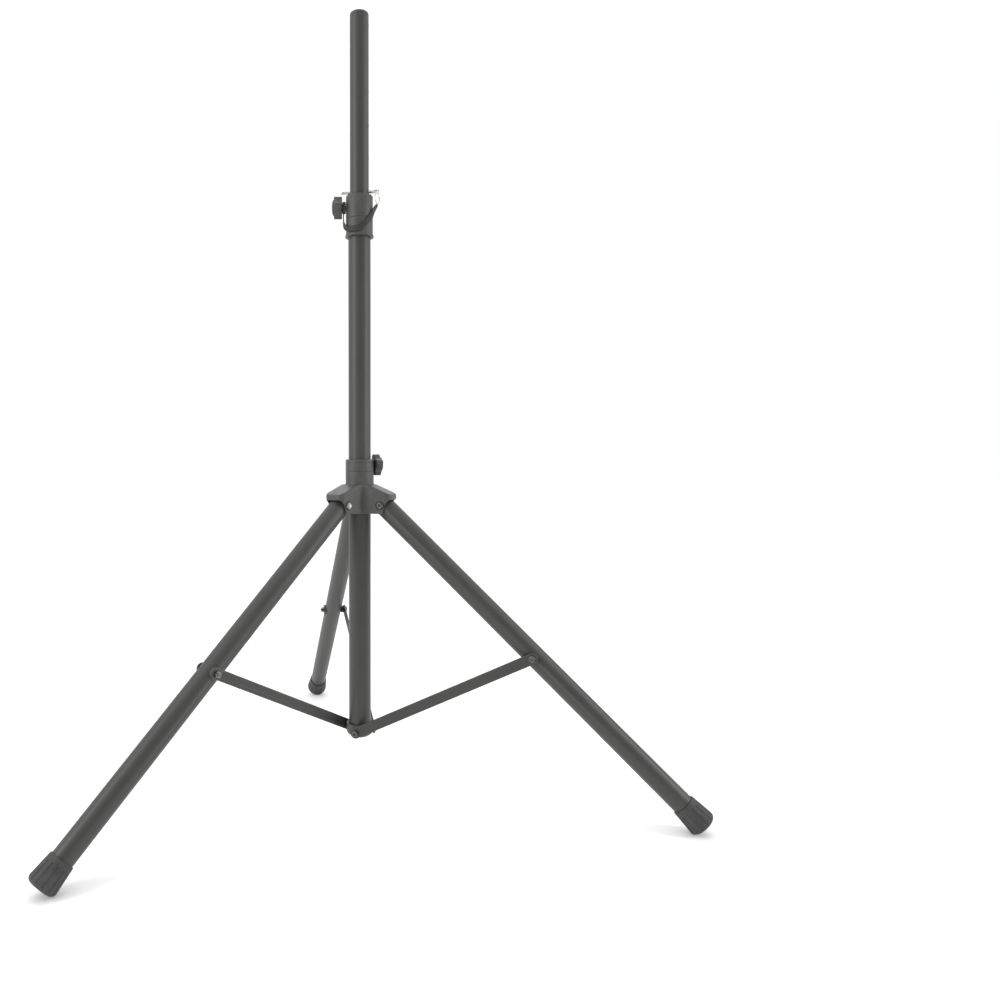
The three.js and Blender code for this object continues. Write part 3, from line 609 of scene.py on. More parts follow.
class StandSizes(bpy.types.PropertyGroup):
    """Sizes of the details that the frame leaves plain."""

    rim_round: length("Rim round", "Round on the ends of tubes and mouldings", 0.5)
    hub_fillet_cell: length("Hub cell", "Cell that the hub's moulded rounds are made from", 0.9)
    groove_width: length("Groove width", "Width of the lines round the hub's sleeve", 1.1)
    groove_depth: length("Groove depth", "Depth of the lines round the hub's sleeve", 0.6)
    groove_upper: length("Upper groove", "From the hub's top down to its upper line", 5.9)
    groove_lower: length("Lower groove", "From the hub's top down to its lower line", 22.2)
    mould_line: length("Mould line", "Height of the parting lines along the collar", 0.12)
    socket_flats: length("Socket", "Across the flats of the bolts' hexagon sockets", 5.0)
    socket_depth: length("Socket depth", "Depth of the bolts' hexagon sockets", 2.4)
    flute_depth: length("Flute depth", "Depth of the flutes along a foot", 1.1)
    strap_width: length("Tether width", "Width of the flat tether", 10.0)
    strap_thickness: length("Tether thickness", "Thickness of the flat tether", 1.8)
    knob_diameter: length("Knob diameter", "Across a knob's lobes", 41.0)
    lobe_depth: length("Lobe depth", "From a knob's mean radius out to a lobe", 3.2)
    collar_knob: length("Collar knob", "Thickness of the collar's knob", 15.0)
    hub_knob: length("Hub knob", "Thickness of the hub's knob", 13.0)
    ring_wire: length("Ring wire", "Diameter of the wire of the pin's ring", 1.8)
    flutes: IntProperty(name="Flutes", description="Flutes round a foot", default=14, min=3)
    lobes: IntProperty(name="Lobes", description="Lobes round a knob", default=4, min=3)


class StandLook(bpy.types.PropertyGroup):
    """Colours and sheen of the finishes."""

    coat: colour("Powder coat", "Charcoal coat on the tubes and straps", 0.036, 0.0375, 0.0345)
    plastic: colour("Moulding", "Collar, hub, bracket and knobs", 0.045, 0.047, 0.044)
    nylon: colour("Nylon", "Liners, plugs and spacers", 0.012, 0.012, 0.012)
    rubber: colour("Rubber", "Feet", 0.030, 0.031, 0.030)
    strap: colour("Tether", "Flexible tether of the pin", 0.018, 0.017, 0.014)
    steel: colour("Black steel", "Bolts, nuts and screws", 0.085, 0.085, 0.085)
    chrome: colour("Chrome", "Pin and ring", 0.66, 0.65, 0.61)
    brass: colour("Brass", "Threaded inserts", 0.62, 0.42, 0.16)
    dust: colour("Dust", "Fine dust on plastic and rubber", 0.16, 0.16, 0.15)
    floor: colour("Floor", "Floor under the stand", 0.94, 0.94, 0.94)
    coat_roughness: FloatProperty(
        name="Coat roughness", description="How satin the powder coat is",
        default=0.44, min=0.0, max=1.0, subtype="FACTOR",
    )
    plastic_roughness: FloatProperty(
        name="Moulding roughness", description="How matt the mouldings are",
        default=0.5, min=0.0, max=1.0, subtype="FACTOR",
    )


# ---------------------------------------------------------------- stage
class STAND_OT_stage(bpy.types.Operator):
    """Lay the floor, set the soft lights and stand the camera before the stand"""

    bl_idname = "stand.stage"
    bl_label = "Stage"

    def execute(self, context):
        look = context.scene.stand_look
        floor = primitive("plane", size=40)
        floor.name = floor.data.name = "floor"
        maker = Maker("floor")
        cloud = maker.noise(0.8, detail=3.0)
        maker.set(
            Base_Color=maker.blend(cloud, tint(look.floor, 0.985), tint(look.floor, 1.015)),
            Roughness=0.9,
            Specular_IOR_Level=0.1,
        )
        floor.data.materials.append(maker.material)
        self.room(context)
        self.lights(context)
        self.camera(context)
        return {"FINISHED"}

    def room(self, context):
        """A white room that is dim on the camera's side, where it lights but isn't seen, and
        brighter overhead, so that the floor is as white as the room."""
        world = bpy.data.worlds.new("studio")
        context.scene.world = world
        world.use_nodes = True
        nodes, links = world.node_tree.nodes, world.node_tree.links
        direction = nodes.new("ShaderNodeTexCoord").outputs["Generated"]
        split = nodes.new("ShaderNodeSeparateXYZ")
        links.new(direction, split.inputs["Vector"])
        both = nodes.new("ShaderNodeMath")
        # axis of the direction, where the change starts and ends, strength before and after it
        changes = (("Y", -0.95, -0.35, 0.2, 1.0), ("Z", 0.3, 1.0, 0.0, 0.45))
        for i, (axis, start, end, before, after) in enumerate(changes):
            change = nodes.new("ShaderNodeMapRange")
            change.inputs["From Min"].default_value = start
            change.inputs["From Max"].default_value = end
            change.inputs["To Min"].default_value = before
            change.inputs["To Max"].default_value = after
            links.new(split.outputs[axis], change.inputs["Value"])
            links.new(change.outputs["Result"], both.inputs[i])
        seen = nodes.new("ShaderNodeLightPath").outputs["Is Camera Ray"]
        larger = nodes.new("ShaderNodeMath")
        larger.operation = "MAXIMUM"
        links.new(both.outputs["Value"], larger.inputs[0])
        links.new(seen, larger.inputs[1])
        links.new(larger.outputs["Value"], nodes["Background"].inputs["Strength"])
        nodes["Background"].inputs["Color"].default_value = (1, 1, 1, 1)

    def lights(self, context):
        # name, place, width, height, watts
        for name, place, width, height, power in (
            ("key", (-3.0, -1.2, 1.6), 1.0, 3.0, 46),
            ("fill", (2.7, -1.4, 1.3), 0.5, 2.4, 30),
            ("rim", (0.6, 3.0, 2.6), 2.4, 1.6, 22),
        ):
            bpy.ops.object.light_add(type="AREA", location=place)
            light = context.object
            light.name = light.data.name = name
            light.data.shape = "RECTANGLE"
            light.data.size = width
            light.data.size_y = height
            light.data.energy = power
            aim = Vector((0, -0.1, 0.8)) - light.location
            light.rotation_euler = aim.to_track_quat("-Z", "Y").to_euler()

    def camera(self, context):
        base = upright_at().translation
        # The camera stands 1.5 m from the column, a little above half the stand's height.
        place = base + Vector((-0.2857, -1.4700, 0.6289))
        yaw, pitch, roll = math.radians(-10.43), math.radians(87.27), math.radians(0.09)
        bpy.ops.object.camera_add(location=place, rotation=(pitch, roll, yaw))
        camera = context.object
        camera.name = camera.data.name = "camera"
        camera.data.sensor_width = 36
        camera.data.lens = 28.58
        camera.data.shift_x = 0.1482
        camera.data.shift_y = -0.0052
        context.scene.camera = camera


# ---------------------------------------------------------------- tether
# Azimuth in degrees, distance from the axis and height above the collar's bottom in millimetres.
TETHER_ROUTE = (
    (169, 29.5, 43.2), (170, 29.6, 34), (177, 29.4, 24), (192, 28.2, 16), (213, 27.1, 11.5),
    (240, 26.9, 10.8), (265, 26.9, 14), (290, 26.9, 24), (312, 27, 35), (326, 28, 45.5),
    (336, 31, 54), (341, 33.5, 58.6),
)


def curve_through(points, steps):
    """Points evenly spaced by number on a smooth curve through others."""
    ends = [points[0] * 2 - points[1], *points, points[-1] * 2 - points[-2]]
    line = []
    for i in range(len(points) - 1):
        a, b, c, d = ends[i:i + 4]
        for k in range(steps):
            t = k / steps
            line.append(0.5 * (
                b * 2 + (c - a) * t + (a * 2 - b * 5 + c * 4 - d) * t * t
                + (b * 3 - a - c * 3 + d) * t * t * t
            ))
    return [*line, points[-1].copy()]


class STAND_OT_tether(bpy.types.Operator):
    """Lay the pin's flat tether from the collar knob's neck round the collar to the ring"""

    bl_idname = "stand.tether"
    bl_label = "Tether"

    def execute(self, context):
        sizes = context.scene.stand_sizes
        base = upright_at(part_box("collar_ferrule")[0].z)
        line = []
        for azimuth, radius, height in TETHER_ROUTE:
            turn = Matrix.Rotation(math.radians(azimuth), 4, "Z")
            line.append(base @ (turn @ Vector((radius * MM, 0, height * MM))))
        line = curve_through(line, 5)
        self.strap(sizes, line, base.translation)
        self.loop()
        return {"FINISHED"}

    def strap(self, sizes, line, axis_point):
        half = sizes.strap_width / 2
        thick = sizes.strap_thickness / 2
        # Across the strap and through it: soft edges and a pressed line inside each edge.
        side = [
            (1.0, 0.0), (0.985, 0.45), (0.93, 0.85), (0.86, 1.0), (0.76, 1.0), (0.70, 0.72),
            (0.64, 1.0), (0.3, 1.0),
        ]
        half_ring = side + [(-u, v) for u, v in reversed(side)]
        section = half_ring + [(u, -v) for u, v in reversed(half_ring[1:-1])]
        corners, faces = [], []
        for i, centre in enumerate(line):
            along = (line[min(i + 1, len(line) - 1)] - line[max(i - 1, 0)]).normalized()
            outward = Vector((centre.x - axis_point.x, centre.y - axis_point.y, 0))
            outward = (outward - along * outward.dot(along)).normalized()
            across = outward.cross(along)
            left = (len(line) - 1 - i) / (len(line) - 1)
            taper = min(1.0, 0.62 + left * 3.2)
            for u, v in section:
                corners.append(centre + across * (u * half * taper) + outward * (v * thick))
        count = len(section)
        for i in range(len(line) - 1):
            for j in range(count):
                a, b = i * count + j, i * count + (j + 1) % count
                faces.append((a, b, b + count, a + count))
        faces.append(tuple(range(count)))
        faces.append(tuple(range(len(corners) - 1, len(corners) - 1 - count, -1)))
        mesh = bpy.data.meshes.new("tether")
        mesh.from_pydata(corners, [], faces)
        obj = bpy.data.objects.new("tether", mesh)
        bpy.context.scene.collection.objects.link(obj)
        editing(obj)
        bpy.ops.mesh.select_all(action="SELECT")
        bpy.ops.mesh.normals_make_consistent(inside=False)
        made()
        only(obj)
        bpy.ops.object.shade_smooth_by_angle(angle=math.radians(50))
        mesh.materials.append(finish("strap"))
        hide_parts("tether_strap")
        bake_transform(obj)
        total = sum((b - a).length for a, b in zip(line, line[1:]))
        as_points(line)

    def loop(self):
        """The strap's end, closed round the neck of the knob."""
        place = outward_frame("collar_knob_turn")
        low, high = span("tether_loop", place)
        outer = (high.x - low.x) / 2
        wall, dip = 2.6 * MM, 0.35 * MM
        inner = outer - wall
        middle_z = (low.z + high.z) / 2
        obj = spun([
            (inner, low.z), (outer, low.z), (outer, middle_z - MM), (outer - dip, middle_z),
            (outer, middle_z + MM), (outer, high.z), (inner, high.z),
        ], 48)
        bevelled(obj, 0.5 * MM)
        placed(obj, place)
        dressed(obj, "tether_eye", "column", "strap", ["tether_loop"])


# ---------------------------------------------------------------- mast
class STAND_OT_mast(bpy.types.Operator):
    """Make the mast's tube with its pin holes, and its rounded cap"""

    bl_idname = "stand.mast"
    bl_label = "Mast"

    def execute(self, context):
        sizes = context.scene.stand_sizes
        place = upright_at()
        low, high = span("mast_tube", place)
        radius = high.x
        pin = span("lock_pin", place)
        pin_z = (pin[0].z + pin[1].z) / 2
        turn = math.atan2(-JOINTS["pin_pull"]["axis"][1], JOINTS["pin_pull"]["axis"][0])
        pitch, hole, beside = 60 * MM, 3.4 * MM, 6 * MM
        holes = [pin_z + i * pitch for i in range(-7, 6)]
        rings = [height + side * beside for height in holes for side in (-1, 1)]
        tube = open_tube(radius, MAST_WALL, (low.z, *rings, high.z), 72, sizes.rim_round)
        for height in holes:
            drill = prism(hole, -radius * 1.3, radius * 1.3, 24)
            turned = Matrix.Rotation(-turn, 4, "Z") @ ALONG_X
            placed(drill, Matrix.Translation((0, 0, height)) @ turned)
            combined(tube, drill)
        placed(tube, place)
        dressed(tube, "mast", "mast", "powder_coat", ["mast_tube"])
        self.cap(place, radius)
        return {"FINISHED"}

    def cap(self, place, radius):
        low, high = span("mast_cap", place)
        spigot = radius - 2.3 * MM
        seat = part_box("mast_tube")[1].z + GAP
        bend = 4 * MM
        profile = [(0, low.z), (spigot, low.z), (spigot, seat), (radius - 0.3 * MM, seat)]
        profile += [(radius, seat + 0.3 * MM), (radius, high.z - bend)]
        profile += arc(radius - bend, high.z - bend, bend, 0, 90, 8)[1:]
        profile += [(radius * 0.5, high.z), (0, high.z)]
        cap = placed(spun(profile, 72, closed=False), place)
        dressed(cap, "mast_end_cap", "mast", "moulding", ["mast_cap"])


# ---------------------------------------------------------------- column and bracket
class STAND_OT_column(bpy.types.Operator):
    """Make the column's tube"""

    bl_idname = "stand.column"
    bl_label = "Column"

    def execute(self, context):
        sizes = context.scene.stand_sizes
        place = upright_at()
        low, high = span("column_tube", place)
        radius = high.x
        tube = open_tube(radius, COLUMN_WALL, evenly(low.z, high.z, 8), 80, sizes.rim_round)
        strap_screw_holes(tube, 0, radius * 1.2)
        placed(tube, place)
        dressed(tube, "column", "column", "powder_coat", ["column_tube"])
        return {"FINISHED"}


class STAND_OT_bracket(bpy.types.Operator):
    """Make the bottom bracket with its three flats"""

    bl_idname = "stand.bracket"
    bl_label = "Bracket"

    def execute(self, context):
        place = upright_at()
        low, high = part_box("bottom_bracket")[0].z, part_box("bottom_bracket")[1].z
        wall, bulge, slope, floor_thickness = 3.75 * MM, 0.8 * MM, 9 * MM, 4 * MM
        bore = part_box("column_tube")[1].x + GAP
        flat = bore + wall
        radius, floor = flat + bulge, low + floor_thickness
        profile = [(0, low), (radius - slope - 2 * MM, low), (radius - slope, low + 0.2 * MM)]
        profile += [(radius - slope * 0.3, low + slope * 0.5), (radius, low + slope)]
        profile += [(radius, high), (bore, high), (bore, floor), (0, floor)]
        cup = spun(profile, 96, closed=False)
        for side in SIDES:
            azimuth = leg_azimuth(side)
            normal = Vector((math.sin(azimuth), -math.cos(azimuth), 0))
            editing(cup)
            bpy.ops.mesh.select_all(action="SELECT")
            bpy.ops.mesh.bisect(
                plane_co=normal * flat, plane_no=normal, use_fill=True, clear_outer=True
            )
            made()
        strap_screw_holes(cup, bore * 0.9, radius * 1.2)
        bevelled(cup, 0.45 * MM, 2, 25)
        placed(cup, place)
        dressed(cup, "base_bracket", "column", "moulding", ["bottom_bracket"])
        return {"FINISHED"}


# ---------------------------------------------------------------- collar
class STAND_OT_collar(bpy.types.Operator):
    """Make the collar's head and its flared ferrule, with their mould lines"""

    bl_idname = "stand.collar"
    bl_label = "Collar"

    def execute(self, context):
        sizes = context.scene.stand_sizes
        turn = math.atan2(*[-JOINTS["collar_knob_turn"]["axis"][i] for i in (1, 0)])
        place = upright_at(0, turn)
        self.head(sizes, place)
        self.ferrule(sizes, place)
        return {"FINISHED"}

    def ridges(self, obj, radius, rise):
        """Raises a thin line along the moulding at its front and back."""
        editing(obj)
        parting, half_width = 0.30, 0.034  # radians from the front and from the back

        def on_line(face):
            centre = face.calc_center_median()
            front = abs(math.atan2(centre.x, -centre.y) - parting) < half_width
            back = abs(math.atan2(-centre.x, centre.y) - parting) < half_width
            outside = math.hypot(centre.x, centre.y) > radius * 0.97
            return (front or back) and outside and abs(face.normal.z) < 0.5

        pick(obj, "FACE", on_line)
        bpy.ops.mesh.inset(thickness=0.35 * MM, depth=rise, use_boundary=True)
        made()

    def head(self, sizes, place):
        low, high = span("collar_head", place)
        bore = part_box("column_tube")[1].x - COLUMN_WALL
        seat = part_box("column_tube")[1].x + GAP
        radius = high.x
        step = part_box("column_tube")[1].z + GAP
        head = spun([
            (seat, low.z), (radius - 0.5 * MM, low.z), (radius - 0.1 * MM, low.z + 0.4 * MM),
            (radius, low.z + 1.6 * MM), (radius, high.z - 1.6 * MM),
            (radius - 0.5 * MM, high.z - 0.5 * MM), (radius - 1.3 * MM, high.z),
            (bore + 0.7 * MM, high.z), (bore, high.z - 0.7 * MM), (bore, step), (seat, step),
        ], 96)
        self.ridges(head, radius, sizes.mould_line)
        knob = span("collar_insert", place)
        socket = prism(INSERT_HOLE, -radius * 1.2, -bore * 0.9, 32)
        height = (knob[0].z + knob[1].z) / 2
        combined(head, placed(socket, Matrix.Translation((0, 0, height)) @ ALONG_X))
        placed(head, place)
        dressed(head, "collar_head_moulding", "column", "moulding", ["collar_head"], 35)

    def ferrule(self, sizes, place):
        low, high = span("collar_ferrule", place)
        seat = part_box("column_tube")[1].x + GAP
        flare = high.x
        radius = span("collar_head", place)[1].x
        ferrule = spun([
            (seat, low.z), (flare - 1.0 * MM, low.z), (flare - 0.3 * MM, low.z + 0.3 * MM),
            (flare, low.z + 1.0 * MM), (flare, low.z + 2.4 * MM),
            (flare - 0.35 * MM, low.z + 3.4 * MM), (radius + 0.35 * MM, low.z + 5.6 * MM),
            (radius, low.z + 7.4 * MM), (radius, high.z - 0.8 * MM),
            (radius - 0.6 * MM, high.z), (seat, high.z),
        ], 96)
        self.ridges(ferrule, radius, sizes.mould_line)
        placed(ferrule, place)
        dressed(ferrule, "collar_ferrule_moulding", "column", "moulding", ["collar_ferrule"], 35)


# ---------------------------------------------------------------- knobs
KNOB_TURNS = {"collar": 0, "hub": 15}  # degrees that the lobes are turned at rest


class STAND_OT_knobs(bpy.types.Operator):
    """Make the two lobed clamping knobs with their necks and domed covers"""

    bl_idname = "stand.knobs"
    bl_label = "Knobs"

    def execute(self, context):
        sizes = context.scene.stand_sizes
        for name in ("collar", "hub"):
            place = outward_frame(f"{name}_knob_turn")
            body = f"{name}_knob_body"
            self.grip(sizes, name, place, body)
            self.cover(name, place, body)
        return {"FINISHED"}

    def grip(self, sizes, name, place, body):
        low, high = span(f"{name}_knob", place)
        thickness = getattr(sizes, f"{name}_knob")
        turn = math.radians(KNOB_TURNS[name])
        back = high.z - thickness
        mean = sizes.knob_diameter / 2 - sizes.lobe_depth
        steps = 96
        grip = primitive("circle", vertices=steps, radius=mean, fill_type="NGON")
        bpy.ops.object.mode_set(mode="EDIT")
        for i in range(steps):
            angle = math.tau * i / steps
            wave = math.cos(sizes.lobes * (angle + turn))
            # Hollows are rounder than the lobes between them.
            share = 1 + sizes.lobe_depth * (wave + 0.12 * (wave * wave - 1)) / mean

            def here(corner, angle=angle):
                there = math.atan2(corner.co.y, corner.co.x) - angle
                return corner.co.length > mean * 0.2 and abs(math.sin(there / 2)) < 1e-3

            pick(grip, "VERT", here)
            bpy.ops.transform.resize(value=(share, share, 1), center_override=(0, 0, 0))
        bpy.ops.mesh.select_all(action="SELECT")
        bpy.ops.transform.translate(value=(0, 0, back))
        bpy.ops.mesh.extrude_region_move(TRANSFORM_OT_translate={"value": (0, 0, thickness)})
        pick(grip, "FACE", lambda face: face.normal.z > 0.9 and len(face.verts) > 4)
        bpy.ops.mesh.inset(thickness=2.2 * MM, depth=0)
        bpy.ops.mesh.inset(thickness=0.5 * MM, depth=-0.5 * MM)
        bpy.ops.mesh.select_all(action="SELECT")
        bpy.ops.mesh.normals_make_consistent(inside=False)
        made()
        bevelled(grip, 1.5 * MM, 4, 50)
        combined(grip, prism(PIVOT_HOLE, low.z, high.z - 3 * MM, 32))
        placed(grip, place)
        dressed(grip, f"{name}_grip", body, "moulding", [f"{name}_knob"], 40)
        radius, bore = 8 * MM, PIVOT_HOLE
        end = back - 0.05 * MM
        shortest_waist = 5 * MM  # a shorter neck is a plain ring
        if end - low.z > shortest_waist:
            rim = [
                (radius - 0.6 * MM, low.z), (radius, low.z + 0.6 * MM),
                (radius, low.z + 2.2 * MM), (radius - 1.6 * MM, low.z + 2.8 * MM),
                (radius - 1.6 * MM, end - 1.6 * MM), (radius, end - 1.0 * MM), (radius, end),
            ]
        else:
            rim = [(radius, low.z), (radius, end)]
        neck = spun([(bore, low.z), *rim, (bore, end)], 48)
        placed(neck, place)
        dressed(neck, f"{name}_knob_neck", body, "nylon", [])

    def cover(self, name, place, body):
        low, high = span(f"{name}_knob_cover", place)
        radius = (high.x - low.x) / 2
        rise = high.z - low.z
        dome = [(radius * math.cos(t), low.z + rise * (0.12 + 0.88 * math.sin(t)))
                for t in (math.pi / 2 * i / 12 for i in range(13))]
        dome[-1] = (0, high.z)
        cover = spun([(0, low.z), (radius - 0.3 * MM, low.z), *dome], 64, closed=False)
        placed(cover, place)
        dressed(cover, f"{name}_knob_dome", body, "moulding", [f"{name}_knob_cover"], 40)


# ---------------------------------------------------------------- locking pin
class STAND_OT_pin(bpy.types.Operator):
    """Make the locking pin with its chamfered tip and detent, and its split ring"""

    bl_idname = "stand.pin"
    bl_label = "Locking pin"

    def execute(self, context):
        sizes = context.scene.stand_sizes
        axis = Vector(JOINTS["pin_pull"]["axis"])
        height = middle("lock_pin").z
        place = upright_at(height, math.atan2(axis.y, axis.x))
        low, high = span("lock_pin", place)
        shaft, head, head_length = 3 * MM, high.z, 9 * MM
        start = high.x - head_length
        pin = spun([
            (0, low.x), (shaft * 0.45, low.x), (shaft * 0.9, low.x + 1.1 * MM),
            (shaft, low.x + 1.8 * MM), (shaft, low.x + 4.2 * MM), (shaft * 0.82, low.x + 4.8 * MM),
            (shaft * 0.82, low.x + 5.8 * MM), (shaft, low.x + 6.4 * MM), (shaft, start - 0.4 * MM),
            (shaft + 0.6 * MM, start), (head - 0.5 * MM, start), (head, start + 0.5 * MM),
            (head, high.x - 1.5 * MM), (head - 0.4 * MM, high.x - 0.7 * MM),
            (head - 1.2 * MM, high.x), (0, high.x),
        ], 40, closed=False)
        placed(pin, ALONG_X)
        ring_x, ring_r = start + head_length / 2, 11 * MM
        turn = Matrix.Rotation(math.radians(-14), 4, "Z")
        eye = placed(prism(2.2 * MM, -10 * MM, 10 * MM, 24), ALONG_Y)
        combined(pin, placed(eye, Matrix.Translation((ring_x, 0, 0)) @ turn))
        placed(pin, place)
        dressed(pin, "locking_pin", "pin", "chrome", ["lock_pin"], 35)
        wire = sizes.ring_wire / 2
        loop = primitive("circle", vertices=16, radius=wire, location=(ring_r, 0, 0))
        bpy.ops.object.transform_apply(location=True, rotation=True, scale=True)
        bpy.ops.object.mode_set(mode="EDIT")
        bpy.ops.mesh.select_all(action="SELECT")
        # The wire's circle is stood up so that the spin about Z sweeps it into a ring.
        bpy.ops.transform.rotate(
            value=math.pi / 2, orient_axis="X", center_override=(ring_r, 0, 0)
        )
        bpy.ops.mesh.spin(
            steps=72, angle=math.radians(356), center=(0, 0, 0), axis=(0, 0, 1)
        )
        pick(loop, "EDGE", lambda edge: len(edge.link_faces) < 2)
        bpy.ops.mesh.edge_face_add()
        bpy.ops.mesh.select_all(action="SELECT")
        bpy.ops.mesh.normals_make_consistent(inside=False)
        made()
        swing = Matrix.Translation((ring_x, 0, -10.5 * MM)) @ turn @ ALONG_X
        placed(loop, place @ swing)
        dressed(loop, "split_ring", "pin", "chrome", ["pin_ring"], 35)
        return {"FINISHED"}


# ---------------------------------------------------------------- hub
LINER_ROOM = 1.75 * MM  # the hub's liner with its clearances
SLEEVE_WALL = 4 * MM
LEG_SKIN = 1.8 * MM  # from the leg's plug out to the leg's outside
HOOD_LIP_DROP = 8.5 * MM
HOOD_PAST_LEG = 2.5 * MM
HOOD_RISE = 28 * MM
HOOD_START = 8 * MM  # far enough in for neighbouring hoods to meet in one valley
FORK_SIDE = 5.5 * MM  # from the leg's outside to the fork's
FORK_ROUND = 12 * MM
BOLT_SEAT = 8 * MM


class STAND_OT_hub(bpy.types.Operator):
    """Mould the hub: its sleeve, three hoods over the legs, and the web between them"""

    bl_idname = "stand.hub"
    bl_label = "Hub"

    def execute(self, context):
        sizes = context.scene.stand_sizes
        place = upright_at()
        self.low, self.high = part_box("hub")[0].z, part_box("hub")[1].z
        self.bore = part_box("column_tube")[1].x + LINER_ROOM
        self.radius = self.bore + SLEEVE_WALL
        self.pivot = Vector(JOINTS["leg_fold_left"]["pos_m"])
        self.pivot_r = math.hypot(*(self.pivot - place.translation).xy)
        self.leg_r = (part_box("leg_plug_back")[1].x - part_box("leg_plug_back")[0].x) / 2 + LEG_SKIN
        self.lip = self.pivot.z + self.leg_r - HOOD_LIP_DROP
        self.tip = self.pivot_r + self.leg_r + HOOD_PAST_LEG
        hub = self.sleeve()
        for side in SIDES:
            turn = Matrix.Rotation(leg_azimuth(side), 4, "Z")
            combined(hub, placed(self.hood(), turn), "UNION")
        for side in SIDES:
            turn = Matrix.Rotation(leg_azimuth(side), 4, "Z")
            combined(hub, placed(self.room(), turn))
        applied(hub, "REMESH", mode="VOXEL", voxel_size=sizes.hub_fillet_cell)
        applied(hub, "SMOOTH", factor=0.5, iterations=22)
        self.finish_cuts(hub, sizes)
        placed(hub, place)
        dressed(hub, "hub_moulding", "hub_body", "moulding", ["hub"], 40)
        return {"FINISHED"}

    def sleeve(self):
        return spun([
            (self.bore - MM, self.high), (self.radius, self.high),
            (self.radius, self.low), (self.bore - MM, self.low),
        ], 96)

    def hood(self):
        """The blank over one leg, with X outward."""
        half, lip, tip = self.leg_r + FORK_SIDE, self.lip, self.tip
        start = Vector((self.pivot_r + 5.5 * MM, self.low))
        outline = [(HOOD_START, self.low), tuple(start)]
        bend = Vector((self.pivot_r + 7 * MM, lip - 3 * MM))
        end = Vector((tip - MM, lip))
        outline += [tuple(start * (1 - t) ** 2 + bend * 2 * t * (1 - t) + end * t * t)
                    for t in (0.2, 0.4, 0.6, 0.8, 1.0)]
        outline += [(tip, lip + MM), (tip, lip + 5 * MM)]
        start, bend = Vector((tip, lip + 5 * MM)), Vector((tip, lip + 9.5 * MM))
        end = Vector((tip - 5 * MM, lip + 11.5 * MM))
        outline += [tuple(start * (1 - t) ** 2 + bend * 2 * t * (1 - t) + end * t * t)
                    for t in (0.25, 0.5, 0.75, 1.0)]
        outline += [(self.radius - 2 * MM, lip + HOOD_RISE), (HOOD_START, lip + HOOD_RISE)]
        blank = slab(outline, -half, half)
        tower = primitive("cube", size=1)
        bpy.ops.object.mode_set(mode="EDIT")
        bpy.ops.mesh.select_all(action="SELECT")
        bpy.ops.transform.resize(value=(tip * 2, half * 2, 0.2), center_override=(0, 0, 0))
        bpy.ops.transform.translate(value=(0, 0, (self.low + self.high) / 2))
        pick(tower, "EDGE", lambda edge: abs(edge.verts[0].co.z - edge.verts[1].co.z) > 0.1
             and edge.verts[0].co.x > 0)
        bpy.ops.mesh.bevel(offset=FORK_ROUND, segments=8, affect="EDGES")
        made()
        return combined(blank, tower, "INTERSECT")

    def room(self):
        """The room that one leg sweeps, with X outward."""
        half = self.leg_r + 0.8 * MM
        reach = math.hypot(self.leg_r, 6 * MM) + 0.6 * MM
        roof = self.pivot.z + reach + MM
        x, lip, tip = self.pivot_r, self.lip, self.tip
        below = self.low - 25 * MM
        out = tip + 30 * MM
        return slab([
            (x - reach, below), (out, below), (out, lip - 2 * MM), (tip - 3 * MM, lip - 2 * MM),
            (tip - 3 * MM, lip + 2 * MM), (tip - 8 * MM, lip + 6 * MM), (x + 7 * MM, roof),
            (x - 9 * MM, roof), (x - reach, lip),
        ], -half, half)

    def finish_cuts(self, hub, sizes):
        """The bore, the bolts' holes and seats, the knob's socket and the sleeve's lines."""
        combined(hub, prism(self.bore, self.low - 5 * MM, self.high + 5 * MM, 96))
        half = self.leg_r + FORK_SIDE
        for side in SIDES:
            turn = Matrix.Rotation(leg_azimuth(side), 4, "Z")
            at = turn @ Matrix.Translation((self.pivot_r, 0, self.pivot.z)) @ ALONG_Y
            combined(hub, placed(prism(PIVOT_HOLE, -half * 1.2, half * 1.2, 32), at))
            for low, high in ((-half - 5 * MM, -half + 2 * MM), (half - 2 * MM, half + 5 * MM)):
                combined(hub, placed(prism(BOLT_SEAT, low, high, 40), at))
        knob = outward_frame("hub_knob_turn")
        socket = prism(INSERT_HOLE, -6 * MM, 8 * MM, 32)
        combined(hub, placed(socket, upright_at().inverted() @ knob))
        width, depth = sizes.groove_width / 2, sizes.groove_depth
        for below in (sizes.groove_upper, sizes.groove_lower):
            at = self.high - below
            ring = spun([
                (self.radius - depth, at - width * 0.5), (self.radius + MM, at - width * 1.6),
                (self.radius + MM, at + width * 1.6), (self.radius - depth, at + width * 0.5),
            ], 96)
            combined(hub, ring)


# ---------------------------------------------------------------- fasteners
def socket_head(sizes, radius, low, high, shank, end):
    """A button head from low to high with a hexagon socket, on a shank that ends at end."""
    round_off = (high - low) * 0.45
    profile = [(0, low), (radius - round_off, low)]
    profile += arc(radius - round_off, low + round_off, round_off, -90, 0, 5)[1:]
    profile += [(radius, high - 0.3 * MM), (radius - 0.3 * MM, high), (shank, high), (shank, end)]
    bolt = spun([*profile, (0, end)], 40, closed=False)
    across = sizes.socket_flats / math.sqrt(3)
    combined(bolt, prism(across, low - MM, low + sizes.socket_depth, 6))
    return bolt


def lock_nut(across_corners, low, high, bore):
    """A hexagon nut with chamfered corners, chamfered more deeply towards high."""
    nut = prism(across_corners / 2, low, high, 6)
    chamfer = spun([
        (0, low), (across_corners * 0.44, low), (across_corners * 0.51, low + 0.7 * MM),
        (across_corners * 0.51, high - 1.2 * MM), (across_corners * 0.40, high), (0, high),
    ], 48, closed=False)
    combined(nut, chamfer, "INTERSECT")
    combined(nut, prism(bore, low - MM, high + MM, 32))
    return nut


